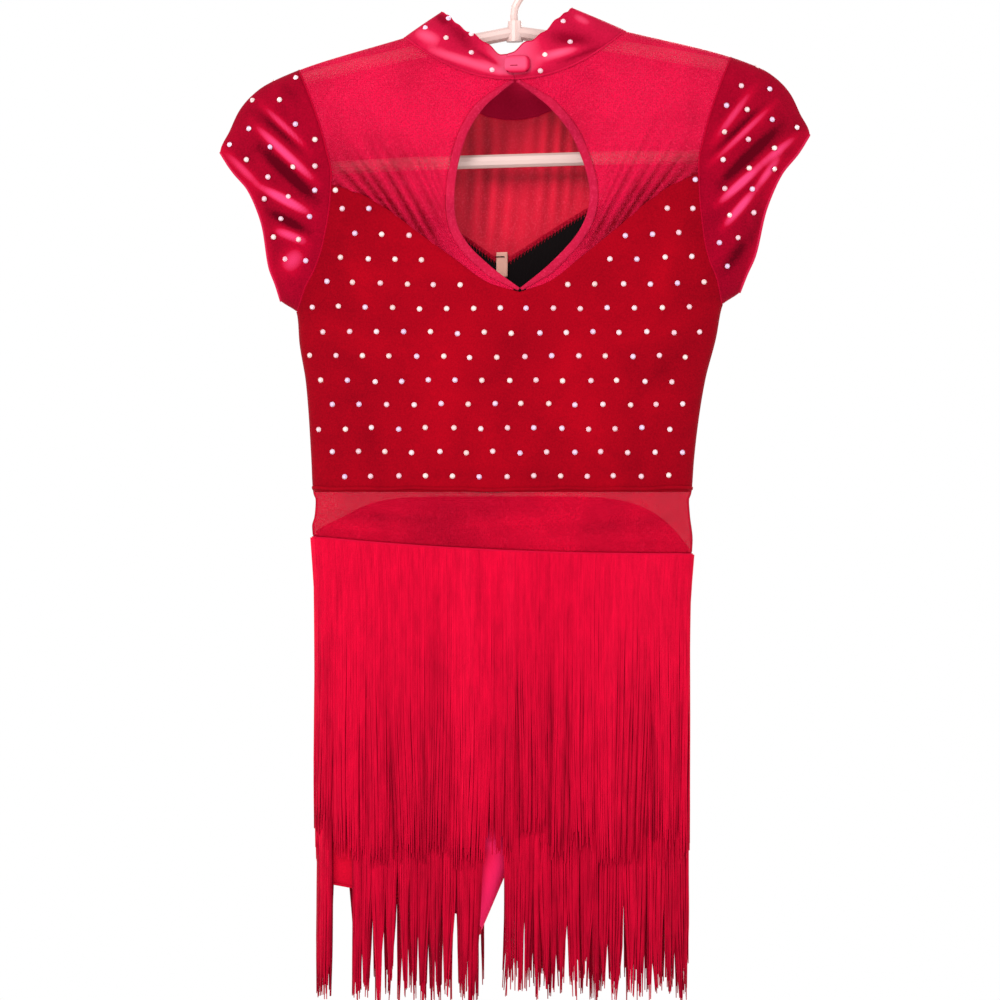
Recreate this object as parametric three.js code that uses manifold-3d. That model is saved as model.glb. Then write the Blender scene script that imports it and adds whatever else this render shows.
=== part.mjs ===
// A red stage unitard: mesh yoke with a keyhole back, velvet bodice, cap sleeves, stand collar,
// mesh midriff and velvet shorts under two tiers of fringe, hung on a tubular hanger.
// Millimetres, +Z up. The keyhole back faces -Y, and the origin is the inside top of the hook.

import * as THREE from 'three';
import Module from 'manifold-3d';
import { mergeVertices } from 'three/addons/utils/BufferGeometryUtils.js';

const wasm = await Module();
wasm.setup();

// ---- driving dimensions ----

const CLOTH = 1.6; // wall of a velvet or mesh panel
const SEAM = 0.4; // clearance between two pieces that are sewn together
const BACK = -1;
const FRONT = 1;
const LEFT = -1;
const RIGHT = 1;

const NECK_POINT = { x: 96, z: -76.6 }; // where shoulder line and collar meet
const SLEEVE_SEAM_TOP = { x: 190, z: -102.7 };
const SLEEVE_TIP = { x: 258, z: -172.3 };
const UNDERARM = { x: 186, z: -316.7 };
const SLEEVE_UNDERARM = { x: 200, z: -306.2 };
const YOKE_CORNER = { x: 161, z: -203.6 }; // where mesh, velvet and sleeve meet
const BODICE_HEM = -476.8;
const SHORTS_TOP_BACK = -529.8;
const CROTCH = { x: 11, z: -792.6 };

// The neck seam dips from the neck points to these heights, and the collar stands on it.
const NECK_DROP = { back: -118.3, front: -148.8, roundness: 2.1 };
const COLLAR = {
  thick: 2,
  opening: 3.6, // bare stretch of neck seam each side of the back fastening
  bulge: 2,
  top: { half: 57, shift: -7, side: -55.5, back: -96.6, front: -106.1, depth: 17, roundness: 1.25 },
};
const COLLAR_TAB = { wide: 22, tall: 17, corner: 3, thick: 1.4, shift: 2, up: 1.5, out: 4.6 };

// Half the width of the flat garment at each drop below the hook.
// From the sleeve tip to the underarm it is where the open cuff would close.
const OUTLINE = [
  { z: -76.6, half: 96 },
  { z: -102.7, half: 190 },
  { z: -118.3, half: 224 },
  { z: -135.7, half: 241 },
  { z: -153.1, half: 249.5 },
  { z: -172.3, half: 258 },
  { z: -205.3, half: 250 },
  { z: -240.1, half: 240 },
  { z: -274.9, half: 228 },
  { z: -292.3, half: 215 },
  { z: -306.2, half: 200.3 },
  { z: -316.7, half: 186.3 },
  { z: -344.5, half: 182.3 },
  { z: -379.3, half: 174.9 },
  { z: -414.1, half: 170.5 },
  { z: -448.9, half: 167.5 },
  { z: -476.8, half: 165.7 },
  { z: -483.7, half: 163.4 },
  { z: -496.8, half: 164.2 },
  { z: -518.5, half: 166.6 },
  { z: -529.8, half: 166 },
];

// Half the front-to-back depth of the hollow inside the cloth.
const DEPTH = [
  { z: -76.6, half: 17 },
  { z: -118.3, half: 26 },
  { z: -150, half: 25 },
  { z: -200, half: 22 },
  { z: -260, half: 20 },
  { z: -317, half: 19 },
  { z: -400, half: 18.5 },
  { z: -476.8, half: 17 },
  { z: -496.8, half: 16.5 },
  { z: -529.8, half: 18.5 },
  { z: -657.7, half: 19.2 },
  { z: -792.6, half: 19.2 },
  { z: -860, half: 18 },
];

// Half the distance between the armholes.
const ARMHOLE = [
  { z: -102.7, half: 190 },
  { z: -127, half: 180 },
  { z: -153, half: 171 },
  { z: -175, half: 165 },
  { z: -195, half: 161 },
  { z: -214, half: 161.5 },
  { z: -257.5, half: 167 },
  { z: -279, half: 173 },
  { z: -294, half: 180 },
  { z: -316.7, half: 186.1 },
];

const SLEEVE_HEM = [
  { z: -172.3, half: 258 },
  { z: -187.9, half: 248 },
  { z: -205.3, half: 233.6 },
  { z: -222.7, half: 225 },
  { z: -240.1, half: 219 },
  { z: -274.9, half: 212 },
  { z: -292.3, half: 205 },
  { z: -306.2, half: 200.2 },
];

// Height of the velvet's top edge, from the V point (0) to the armhole (1).
const V_SEAM_BACK = [
  { across: 0, z: -302.8 },
  { across: 0.137, z: -294.9 },
  { across: 0.32, z: -273.2 },
  { across: 0.53, z: -248 },
  { across: 0.7, z: -227 },
  { across: 0.85, z: -212.5 },
  { across: 1, z: -203.6 },
];
const V_SEAM_FRONT = [
  { across: 0, z: -276.7 },
  { across: 0.236, z: -250.6 },
  { across: 0.45, z: -229.7 },
  { across: 0.7, z: -214 },
  { across: 1, z: -203.6 },
];
const V_POINT_X = { back: 8, front: -8.8 };
const V_SEAM_GAP = 0.8;
const NECK_GAP = 0.6; // the yoke stops this far below the neck seam
const ARMHOLE_GAP = 0.8; // the sleeve starts this far outside the armhole

// Edge of the keyhole, from under the collar to the V point.
const KEYHOLE = {
  left: [
    { x: -3, z: -125 },
    { x: -24, z: -143 },
    { x: -43, z: -171 },
    { x: -52, z: -205 },
    { x: -51, z: -236 },
    { x: -43, z: -257 },
    { x: -20, z: -279 },
    { x: 7.6, z: -300 },
  ],
  right: [
    { x: 3, z: -125 },
    { x: 27, z: -142 },
    { x: 52, z: -171 },
    { x: 64, z: -205 },
    { x: 65, z: -229 },
    { x: 56, z: -253 },
    { x: 34, z: -278 },
    { x: 8.4, z: -300 },
  ],
};
const BINDING = { width: 7, end: 1.6, thick: 2.4, lowTaper: 0.12, highTaper: 0.16 };

const HANGER = {
  radius: 6,
  hook: 3.5, // radius of the hook's rod
  bend: 20,
  neck: -75,
  shoulder: 200,
  bar: -187,
  boss: { radius: 7.5, tall: 18 },
};

// Two tiers of fringe. `gap` is the share of the pitch left free between two locks, `flare`
// how far out of the shorts a tip hangs, and `parting` the stretch left bare above the crotch.
const FRINGE = {
  drop: 254,
  header: { tall: 9, thick: 1.4 },
  tip: { share: 0.52, thick: 1.2, uneven: 3.5, sway: 0.5 },
  upper: { top: -530.4, count: 60, gap: 0.22, flare: 6.2 },
  lower: { top: -655, count: 48, gap: 0.24, flare: 2, parting: { from: -18, to: 0 } },
};

// The hanger sits a little askew: it lifts the right shoulder and carries the top to the right.
const LEAN = 0.03;
const SWAY = -11;
const LEAN_FROM = -186;

// ---- small tools ----

const lerp = THREE.MathUtils.lerp;
const clamp = THREE.MathUtils.clamp;

// 0 to 1 as the height falls from one level to another.
const fall = (z, from, to) => 1 - THREE.MathUtils.smoothstep(z, to, from);

// A smooth function through a table's rows that never overshoots them.
function through(rows, input, output) {
  const sorted = [...rows].sort((a, b) => a[input] - b[input]);
  const at = sorted.map((row) => row[input]);
  const value = sorted.map((row) => row[output]);
  const last = at.length - 1;
  const rise = [];
  for (let k = 0; k < last; k++) rise.push((value[k + 1] - value[k]) / (at[k + 1] - at[k]));
  const slope = value.map((_, k) => {
    if (k === 0) return rise[0];
    if (k === last) return rise[last - 1];
    if (rise[k - 1] * rise[k] <= 0) return 0;
    return (2 * rise[k - 1] * rise[k]) / (rise[k - 1] + rise[k]);
  });
  return (t) => {
    const s = clamp(t, at[0], at[last]);
    let k = 0;
    while (k < last - 1 && s > at[k + 1]) k++;
    const span = at[k + 1] - at[k];
    const f = (s - at[k]) / span;
    const g = 1 - f;
    const ends = value[k] * (1 + 2 * f) * g * g + value[k + 1] * f * f * (3 - 2 * f);
    return ends + span * f * g * (slope[k] * g - slope[k + 1] * f);
  };
}

const outlineHalf = through(OUTLINE, 'z', 'half');
const depthHalf = through(DEPTH, 'z', 'half');
const armholeHalf = through(ARMHOLE, 'z', 'half');
const sleeveHemHalf = through(SLEEVE_HEM, 'z', 'half');
const vSeam = {
  back: through(V_SEAM_BACK, 'across', 'z'),
  front: through(V_SEAM_FRONT, 'across', 'z'),
};

// The flat garment is a thin lens: full depth on its centre line, none at its outline.
function lensDepth(x, z) {
  const across = Math.abs(x) / (outlineHalf(z) - CLOTH / 2);
  return depthHalf(z) * Math.sqrt(Math.max(0, 1 - across * across));
}

function onCloth(face, x, z, relief = 0) {
  return new THREE.Vector3(x, face * Math.max(SEAM / 2, lensDepth(x, z) + relief), z);
}

// Shears a point as the askew hanger does.
function askew(p) {
  const fade = fall(p.z, LEAN_FROM, BODICE_HEM);
  return new THREE.Vector3(p.x + SWAY * fade, p.y, p.z + LEAN * p.x * (1 - fade));
}

function solid(points, triangles) {
  const geometry = new THREE.BufferGeometry().setFromPoints(points);
  geometry.setIndex(triangles.flat());
  return geometry;
}

// Thickens a grid of points into a closed wall, half to each side and shifted by an offset.
// A panel that has a face stays wholly on that side of the side and shoulder seams.
function wall(grid, { thick = CLOTH, offset = 0, face = 0 } = {}) {
  const rows = grid.length;
  const cols = grid[0].length;
  const along = new THREE.Vector3();
  const across = new THREE.Vector3();
  const outer = [];
  const inner = [];
  for (let i = 0; i < rows; i++) {
    for (let j = 0; j < cols; j++) {
      along.subVectors(grid[Math.min(i + 1, rows - 1)][j], grid[Math.max(i - 1, 0)][j]);
      across.subVectors(grid[i][Math.min(j + 1, cols - 1)], grid[i][Math.max(j - 1, 0)]);
      const normal = new THREE.Vector3().crossVectors(along, across).normalize();
      outer.push(grid[i][j].clone().addScaledVector(normal, offset + thick / 2));
      inner.push(grid[i][j].clone().addScaledVector(normal, offset - thick / 2));
    }
  }
  if (face) {
    for (const p of [...outer, ...inner]) p.y = face * Math.max(face * p.y, SEAM / 2);
  }
  const skin = outer.length;
  const id = (i, j) => i * cols + j;
  const triangles = [];
  const quad = (a, b, c, d) => triangles.push([a, b, c], [a, c, d]);
  for (let i = 0; i < rows - 1; i++) {
    for (let j = 0; j < cols - 1; j++) {
      const [a, b, c, d] = [id(i, j), id(i + 1, j), id(i + 1, j + 1), id(i, j + 1)];
      quad(a, b, c, d);
      triangles.push([a + skin, c + skin, b + skin], [a + skin, d + skin, c + skin]);
    }
  }
  for (let i = 0; i < rows - 1; i++) {
    quad(id(i + 1, 0), id(i, 0), id(i, 0) + skin, id(i + 1, 0) + skin);
    quad(id(i, cols - 1), id(i + 1, cols - 1), id(i + 1, cols - 1) + skin, id(i, cols - 1) + skin);
  }
  for (let j = 0; j < cols - 1; j++) {
    quad(id(0, j), id(0, j + 1), id(0, j + 1) + skin, id(0, j) + skin);
    quad(id(rows - 1, j + 1), id(rows - 1, j), id(rows - 1, j) + skin, id(rows - 1, j + 1) + skin);
  }
  return solid([...outer, ...inner], triangles);
}

function gridOf(rows, cols, point) {
  const grid = [];
  for (let i = 0; i <= rows; i++) {
    grid.push([]);
    for (let j = 0; j <= cols; j++) grid[i].push(point(i / rows, j / cols));
  }
  return grid;
}

// Blends four edges, each a function of 0 to 1, into a patch of { x, z } points.
function patch(low, high, left, right) {
  const corner = { a: low(0), b: low(1), c: high(0), d: high(1) };
  const mix = (u, v, k) => {
    const ruled = lerp(low(u)[k], high(u)[k], v) + lerp(left(v)[k], right(v)[k], u);
    return ruled - lerp(lerp(corner.a[k], corner.b[k], u), lerp(corner.c[k], corner.d[k], u), v);
  };
  return (u, v) => ({ x: mix(u, v, 'x'), z: mix(u, v, 'z') });
}

function toManifold(geometry) {
  const bare = geometry.clone();
  bare.deleteAttribute('normal');
  bare.deleteAttribute('uv');
  const merged = mergeVertices(bare, 1e-4);
  const vertProperties = new Float32Array(merged.attributes.position.array);
  const triVerts = new Uint32Array(merged.index.array);
  return new wasm.Manifold(new wasm.Mesh({ numProp: 3, vertProperties, triVerts }));
}

function toGeometry(body) {
  const mesh = body.getMesh();
  const geometry = new THREE.BufferGeometry();
  geometry.setAttribute('position', new THREE.BufferAttribute(mesh.vertProperties, 3));
  geometry.setIndex(new THREE.BufferAttribute(mesh.triVerts, 1));
  return geometry;
}

const join = (...geometries) => toGeometry(geometries.map(toManifold).reduce((all, next) => all.add(next)));

// ---- collar ----

const neckHeight = (face, x) => {
  const low = face === BACK ? NECK_DROP.back : NECK_DROP.front;
  return lerp(low, NECK_POINT.z, (Math.abs(x) / NECK_POINT.x) ** NECK_DROP.roundness);
};

function collar() {
  const { thick, opening, bulge, top } = COLLAR;
  const bare = opening / (Math.PI * NECK_POINT.x);
  const point = (up, around) => {
    const angle = Math.PI * (-0.5 + lerp(bare, 2 - bare, around));
    const across = Math.cos(angle);
    const face = Math.sin(angle) < 0 ? BACK : FRONT;
    const low = face === BACK ? top.back : top.front;
    const base = { x: NECK_POINT.x * across, z: neckHeight(face, NECK_POINT.x * across) + SEAM / 2 };
    const rise = Math.abs(across) ** top.roundness;
    const edge = { x: top.half * across + top.shift, z: lerp(low, top.side, rise) };
    const edgeDepth = top.depth * Math.abs(Math.sin(angle));
    const depth = lerp(lensDepth(base.x, base.z), edgeDepth, up) + bulge * Math.sin(Math.PI * up);
    const atSide = Math.abs(Math.sin(angle)) < 1e-6;
    return new THREE.Vector3(lerp(base.x, edge.x, up), atSide ? 0 : face * depth, lerp(base.z, edge.z, up));
  };
  return wall(gridOf(3, 34, point), { thick });
}

// The velvet flap that fastens the collar over its two ends at the back.
function collarTab() {
  const { wide, tall, corner, thick, shift, up, out } = COLLAR_TAB;
  const [right, high] = [wide / 2 - corner, tall / 2 - corner];
  const quarter = Math.PI / 2;
  const flap = new THREE.Shape();
  flap.absarc(right, -high, corner, -quarter, 0);
  flap.absarc(right, high, corner, 0, quarter);
  flap.absarc(-right, high, corner, quarter, 2 * quarter);
  flap.absarc(-right, -high, corner, 2 * quarter, 3 * quarter);
  const geometry = new THREE.ExtrudeGeometry(flap, { depth: thick, bevelEnabled: false, curveSegments: 3 });
  const foot = { depth: depthHalf(NECK_DROP.back), z: NECK_DROP.back };
  const rim = { depth: COLLAR.top.depth, z: COLLAR.top.back };
  geometry.rotateX(Math.atan2(rim.z - foot.z, foot.depth - rim.depth));
  geometry.translate(shift, -(foot.depth + rim.depth) / 2 - out, (rim.z + foot.z) / 2 + up);
  return geometry;
}

// ---- mesh yoke ----

function vSeamPoint(name, across, gap) {
  const z = vSeam[name](Math.abs(across)) + gap;
  return { x: across * (armholeHalf(z) - SEAM / 2) + V_POINT_X[name] * (1 - Math.abs(across)), z };
}

const armholeEdge = (side, z) => ({ x: side * (armholeHalf(z) - SEAM / 2), z });

const ridge = (side, z) => ({ x: side * (outlineHalf(z) - CLOTH / 2), z });

// From the sleeve seam along the shoulder ridge and the neck seam, 0 to 1, on one side.
function shoulderEdge(face, side, t) {
  const ridgeShare = 0.45; // the rest is the neck seam
  const top = { sleeve: SLEEVE_SEAM_TOP.z - SEAM / 2, neck: NECK_POINT.z - NECK_GAP };
  if (t <= ridgeShare) return ridge(side, lerp(top.sleeve, top.neck, t / ridgeShare));
  const x = ridge(side, top.neck).x * (1 - (t - ridgeShare) / (1 - ridgeShare));
  return { x, z: neckHeight(face, x) - NECK_GAP };
}

const YOKE_FRONT = { gathers: 10, relief: 1.1, gathered: 0.6 };

function yokeFront() {
  const low = (u) => vSeamPoint('front', 2 * u - 1, 2 * V_SEAM_GAP);
  const high = (u) => shoulderEdge(FRONT, u < 0.5 ? LEFT : RIGHT, 1 - Math.abs(2 * u - 1));
  const foot = vSeam.front(1) + 2 * V_SEAM_GAP;
  const edge = (side) => (v) => armholeEdge(side, lerp(foot, SLEEVE_SEAM_TOP.z - SEAM / 2, v));
  const place = patch(low, high, edge(LEFT), edge(RIGHT));
  const { gathers, relief, gathered } = YOKE_FRONT;
  const point = (up, u) => {
    const v = Math.sin((up * Math.PI) / 2);
    const p = place(u, v);
    const fromMiddle = Math.min(1, Math.abs(2 * u - 1) / gathered);
    const fade = Math.cos((fromMiddle * Math.PI) / 2) * Math.sin(Math.PI * v);
    return onCloth(FRONT, p.x, p.z, relief * fade * Math.sin(gathers * 2 * Math.PI * u));
  };
  return wall(gridOf(6, 40, point), { face: FRONT });
}

function keyholeCurve(name) {
  return new THREE.SplineCurve(KEYHOLE[name].map((row) => new THREE.Vector2(row.x, row.z)));
}

// Width of the binding: full along the sides, narrow where it runs into collar and V point.
const bindingWidth = (s) => {
  const fullness = Math.min(1, s / BINDING.highTaper, (1 - s) / BINDING.lowTaper);
  return lerp(BINDING.end, BINDING.width, fullness);
};

function keyholeOffset(name, s, distance) {
  const curve = keyholeCurve(name);
  const at = curve.getPointAt(s);
  const along = curve.getTangentAt(s);
  const outward = name === 'left' ? 1 : -1;
  return { x: at.x + outward * along.y * distance, z: at.y - outward * along.x * distance };
}

function keyholeBinding(name) {
  const point = (s, out) => {
    const p = keyholeOffset(name, s, out * bindingWidth(s));
    return onCloth(BACK, p.x, p.z);
  };
  return wall(gridOf(20, 1, point), { thick: BINDING.thick });
}

const YOKE_BACK = { folds: 5, relief: 1.2, folded: 0.62, neckEnd: 0.93, keyhole: { low: 0.9, high: 0.02 } };

// One half of the back yoke, ruled from the keyhole out to seam, armhole, shoulder and neck.
function yokeBack(name) {
  const side = name === 'left' ? LEFT : RIGHT;
  const outer = [];
  const run = (steps, point) => {
    for (let k = outer.length ? 1 : 0; k <= steps; k++) outer.push(point(k / steps));
  };
  const { folds, relief, folded, neckEnd, keyhole } = YOKE_BACK;
  const firstColumn = COLUMNS / 2 + 2;
  const seamColumns = COLUMNS - firstColumn;
  const armholeRise = (t) => lerp(vSeam.back(1), SLEEVE_SEAM_TOP.z, Math.sin((t * Math.PI) / 2)) - SEAM / 2;
  run(seamColumns, (t) => vSeamPoint('back', side * acrossAt(firstColumn + t * seamColumns), V_SEAM_GAP));
  run(6, (t) => armholeEdge(side, armholeRise(t)));
  run(11, (t) => shoulderEdge(BACK, side, t * neckEnd));
  const last = outer.length - 1;
  const point = (outward, around) => {
    const share = Math.sin((outward * Math.PI) / 2);
    const s = lerp(keyhole.low, keyhole.high, around ** 0.9);
    const inner = keyholeOffset(name, s, bindingWidth(s) + SEAM);
    const rim = outer[Math.round(around * last)];
    const p = { x: lerp(inner.x, rim.x, share), z: lerp(inner.z, rim.z, share) };
    const fade = Math.sin(Math.PI * share) * Math.sin(Math.PI * Math.min(1, around / folded));
    return onCloth(BACK, p.x, p.z, relief * fade * Math.sin(folds * 2 * Math.PI * around));
  };
  return wall(gridOf(6, last, point), { face: BACK });
}

// ---- velvet bodice ----

const bodyHalf = (z) => (z > UNDERARM.z ? armholeHalf(z) - SEAM / 2 : outlineHalf(z) - CLOTH / 2);

// A point of the bodice: across from -1 to 1, and down from the V seam (0) to the hem (1).
function bodicePoint(name, across, down) {
  const top = vSeam[name](Math.abs(across)) - SEAM / 2;
  const z = lerp(top, BODICE_HEM + SEAM / 2, down);
  const shift = V_POINT_X[name] * (1 - Math.abs(across)) * (1 - down);
  return { x: across * bodyHalf(z) + shift, z };
}

// Columns of a body panel, closer together at the side seams. The V seam uses the same ones.
const COLUMNS = 24;
const acrossAt = (j) => {
  const t = (2 * j) / COLUMNS - 1;
  return lerp(t, Math.sin((t * Math.PI) / 2), 0.7);
};

const BODICE_ROWS = [0, 0.1, 0.2, 0.31, 0.414, 0.58, 0.76, 0.9, 1];

function bodice(name, face) {
  const grid = BODICE_ROWS.map((down) => {
    const row = [];
    for (let j = 0; j <= COLUMNS; j++) {
      const p = bodicePoint(name, acrossAt(j), down);
      row.push(onCloth(face, p.x, p.z));
    }
    return row;
  });
  return wall(grid, { face });
}

// The front's lining, as far down as the keyhole shows it.
const LINING = { thick: 1, down: 0.34, across: 0.84 };
const LINING_INSET = CLOTH / 2 + SEAM + LINING.thick / 2;

function frontLining() {
  const point = (t, u) => {
    const p = bodicePoint('front', (2 * u - 1) * LINING.across, lerp(0.006, LINING.down, t));
    return onCloth(FRONT, p.x, p.z);
  };
  return wall(gridOf(3, 14, point), { thick: LINING.thick, offset: LINING_INSET });
}

const LINING_TAB = { wide: 9.5, tall: 22, thick: 1.2, clear: 1 };

// A plain stay tab, sewn inside the front's V point.
function liningTab() {
  const { wide, tall, thick, clear } = LINING_TAB;
  const tab = new THREE.BoxGeometry(wide, thick, tall);
  const at = { x: V_POINT_X.front, z: V_SEAM_FRONT[0].z };
  const y = lensDepth(at.x, at.z) - LINING_INSET - LINING.thick / 2 - clear - thick / 2;
  tab.translate(at.x, y, at.z);
  return tab;
}

// ---- cap sleeves ----

const SLEEVE = { puff: 3, folds: 5, relief: 1.4, slant: 2, underarmGap: 1.2 };

function sleeve(side) {
  const top = SLEEVE_SEAM_TOP.z + SEAM / 2;
  const armhole = (a) => {
    const z = lerp(top, UNDERARM.z + SLEEVE.underarmGap, a);
    return { x: armholeHalf(z) + ARMHOLE_GAP, z };
  };
  const hem = (a) => {
    const z = lerp(SLEEVE_TIP.z, SLEEVE_UNDERARM.z, a);
    return { x: sleeveHemHalf(z), z };
  };
  const ridgeLine = (v) => {
    const z = lerp(top, SLEEVE_TIP.z, v);
    return { x: outlineHalf(z) - CLOTH / 2, z };
  };
  const under = (v) => ({
    x: lerp(armhole(1).x, SLEEVE_UNDERARM.x, v),
    z: lerp(armhole(1).z, SLEEVE_UNDERARM.z, v),
  });
  const place = patch(ridgeLine, under, armhole, hem);
  const point = (v, around) => {
    const angle = Math.PI * (2 * around - 1);
    const a = (1 - Math.cos(angle)) / 2;
    const p = place(v, a);
    const fade = Math.sin(Math.PI * v) * Math.sin(Math.PI * a);
    const fold = SLEEVE.relief * Math.sin(Math.PI * (SLEEVE.folds * a + SLEEVE.slant * v));
    const depth = Math.max(SEAM / 2, lensDepth(p.x, p.z) + fade * (SLEEVE.puff + fold));
    const atRidge = Math.abs(angle) < 1e-6;
    return new THREE.Vector3(side * p.x, atRidge ? 0 : Math.sign(angle) * depth, p.z);
  };
  return wall(gridOf(6, 24, point));
}

// ---- midriff and shorts ----

// Top edge of the shorts: level at the back, arched up to the bodice at the front.
const SHORTS_ARCH = { z: -481.5, roundness: 2.2 };

function shortsTop(face, across) {
  if (face === BACK) return SHORTS_TOP_BACK;
  return lerp(SHORTS_ARCH.z, SHORTS_TOP_BACK, Math.abs(across) ** SHORTS_ARCH.roundness);
}

function midriff(face) {
  const top = BODICE_HEM - SEAM / 2;
  const point = (down, u) => {
    const across = Math.sin((u - 0.5) * Math.PI);
    const z = lerp(top, shortsTop(face, across) + SEAM / 2, down);
    return onCloth(face, across * (outlineHalf(z) - CLOTH / 2), z);
  };
  return wall(gridOf(2, 22, point), { face });
}

const shortsOutline = through(
  [
    { z: -481, half: 162.6 },
    { z: -500, half: 163.4 },
    { z: -529.8, half: 165.2 },
    { z: -570, half: 162 },
    { z: -657.7, half: 160.3 },
    { z: -792.6, half: 159.5 },
    { z: -860, half: 155 },
  ],
  'z',
  'half',
);

// Inner edge of each leg below the crotch, and the slant of its hem.
const LEGS = {
  left: { side: LEFT, innerAtHem: -19, hemOuter: -816.9, hemInner: -863 },
  right: { side: RIGHT, innerAtHem: 17, hemOuter: -794, hemInner: -851 },
};

// The leg closes over `closing` above the crotch, and the centre seam swings to it below `seamFrom`.
const SEAT = { closing: 34, seamFrom: -560, inseamGap: 0.8 };

// Each leg runs from the centre back seam round the outside to the centre front seam,
// and below the crotch its two edges meet at the inseam.
function shortsHalf(leg) {
  const { side, innerAtHem, hemOuter, hemInner } = leg;
  const point = (down, around) => {
    const turn = 2 * around - 1;
    const face = turn < 0 ? BACK : FRONT;
    const toOuter = Math.cos((turn * Math.PI) / 2);
    const across = 1 - Math.abs(turn);
    const top = shortsTop(face, Math.sin((across * Math.PI) / 2)) - SEAM / 2;
    const z = lerp(top, lerp(hemInner, hemOuter, toOuter), down);
    const closing = fall(z, CROTCH.z + SEAT.closing, CROTCH.z);
    const inAngle = (Math.PI / 2) * (1 + closing);
    const angle = inAngle * Math.abs(turn);
    const seam = lerp(0, CROTCH.x, fall(z, SEAT.seamFrom, CROTCH.z));
    const belowCrotch = Math.max(0, (CROTCH.z - z) / (CROTCH.z - hemInner));
    const inner = lerp(seam, innerAtHem, belowCrotch);
    const outer = side * (shortsOutline(z) - CLOTH / 2);
    const start = inner + side * (SEAM / 2 + closing * SEAT.inseamGap);
    const x = lerp(start, outer, (Math.cos(angle) - Math.cos(inAngle)) / (1 - Math.cos(inAngle)));
    const fromOuter = (outer - x) / (outer - start);
    const leg = lerp(1, Math.sqrt(Math.max(0, 1 - fromOuter ** 4)), closing);
    const depth = depthHalf(z) * Math.sqrt(Math.max(0, 1 - (x / outer) ** 2)) * leg;
    const atSide = Math.abs(turn) < 1e-6;
    return new THREE.Vector3(x, atSide ? 0 : face * Math.max(SEAM / 2, depth), z);
  };
  return wall(gridOf(12, 16, point));
}

// ---- fringe ----

// A point outside the shorts' wall: angle 0 is the right side, half a turn the left side.
// Below the crotch the ring keeps its size, because the fringe hangs straight there.
function roundShorts(face, angle, z, out) {
  const level = Math.max(z, CROTCH.z);
  const half = shortsOutline(level) - CLOTH / 2;
  const depth = depthHalf(level);
  const normal = new THREE.Vector2(Math.cos(angle) * depth, Math.sin(angle) * half).normalize();
  const x = half * Math.cos(angle) + normal.x * out;
  const y = depth * Math.sin(angle) + normal.y * out;
  return { x, y: face * Math.max(y, SEAM / 2), normal: new THREE.Vector2(normal.x, face * normal.y) };
}

// Turns a length along half the ring, as a share of the whole, into an angle.
function angleAlong(z, out) {
  const fine = 400;
  const lengths = [0];
  for (let k = 1; k <= fine; k++) {
    const a = roundShorts(FRONT, (Math.PI * (k - 1)) / fine, z, out);
    const b = roundShorts(FRONT, (Math.PI * k) / fine, z, out);
    lengths.push(lengths[k - 1] + Math.hypot(b.x - a.x, b.y - a.y));
  }
  return (share) => {
    const target = lengths[fine] * share;
    const k = clamp(lengths.findIndex((length) => length >= target), 1, fine);
    return (Math.PI * (k - 1 + (target - lengths[k - 1]) / (lengths[k] - lengths[k - 1]))) / fine;
  };
}

// One tier on one face: a header strip whose lower edge runs out into four-sided locks.
function fringeTier(face, tier) {
  const { top, count, gap, flare, parting } = tier;
  const { tall, thick } = FRINGE.header;
  const { tip, drop } = FRINGE;
  const middle = CLOTH / 2 + SEAM + thick / 2;
  const angleAt = angleAlong(top, middle);
  const shares = [0.002];
  for (let n = 0; n < count; n++) shares.push((n + gap / 2) / count, (n + 1 - gap / 2) / count);
  shares.push(0.998);

  const points = [];
  const triangles = [];
  const add = (angle, z, out, sway = 0) => {
    const at = roundShorts(face, angle, z, out);
    points.push(new THREE.Vector3(at.x + sway, at.y, z));
    return points.length - 1;
  };
  const triangle = (a, b, c) => triangles.push(face === FRONT ? [a, b, c] : [a, c, b]);
  const quad = (a, b, c, d) => {
    triangle(a, b, c);
    triangle(a, c, d);
  };
  const columns = shares.map((share) => {
    const angle = angleAt(share);
    return {
      angle,
      outerTop: add(angle, top, middle + thick / 2),
      innerTop: add(angle, top, middle - thick / 2),
      outer: add(angle, top - tall, middle + thick / 2),
      inner: add(angle, top - tall, middle - thick / 2),
    };
  });

  const hang = (p, q, n) => {
    const wave = Math.sin(n * 2.4) + Math.sin(n * 0.9 + face);
    const z = top - drop - tip.uneven * wave;
    const sway = tip.sway * Math.sin(n * 0.8);
    const from = lerp(p.angle, q.angle, (1 - tip.share) / 2);
    const to = lerp(p.angle, q.angle, (1 + tip.share) / 2);
    const end = {
      outerP: add(from, z, flare + tip.thick, sway),
      outerQ: add(to, z, flare + tip.thick, sway),
      innerP: add(from, z, flare, sway),
      innerQ: add(to, z, flare, sway),
    };
    quad(p.outer, end.outerP, end.outerQ, q.outer);
    quad(p.inner, q.inner, end.innerQ, end.innerP);
    quad(p.inner, end.innerP, end.outerP, p.outer);
    quad(q.outer, end.outerQ, end.innerQ, q.inner);
    quad(end.innerP, end.innerQ, end.outerQ, end.outerP);
  };

  for (let j = 0; j < columns.length - 1; j++) {
    const [p, q] = [columns[j], columns[j + 1]];
    quad(p.outerTop, p.outer, q.outer, q.outerTop);
    quad(p.innerTop, q.innerTop, q.inner, p.inner);
    quad(p.innerTop, p.outerTop, q.outerTop, q.innerTop);
    const x = shortsOutline(top) * Math.cos((p.angle + q.angle) / 2);
    const parted = parting && x > parting.from && x < parting.to;
    if (j % 2 === 1 && !parted) hang(p, q, (j - 1) / 2);
    else quad(p.inner, q.inner, q.outer, p.outer);
  }
  const [first, last] = [columns[0], columns.at(-1)];
  quad(first.innerTop, first.inner, first.outer, first.outerTop);
  quad(last.outerTop, last.outer, last.inner, last.innerTop);
  return solid(points, triangles);
}

// ---- hanger ----

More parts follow.
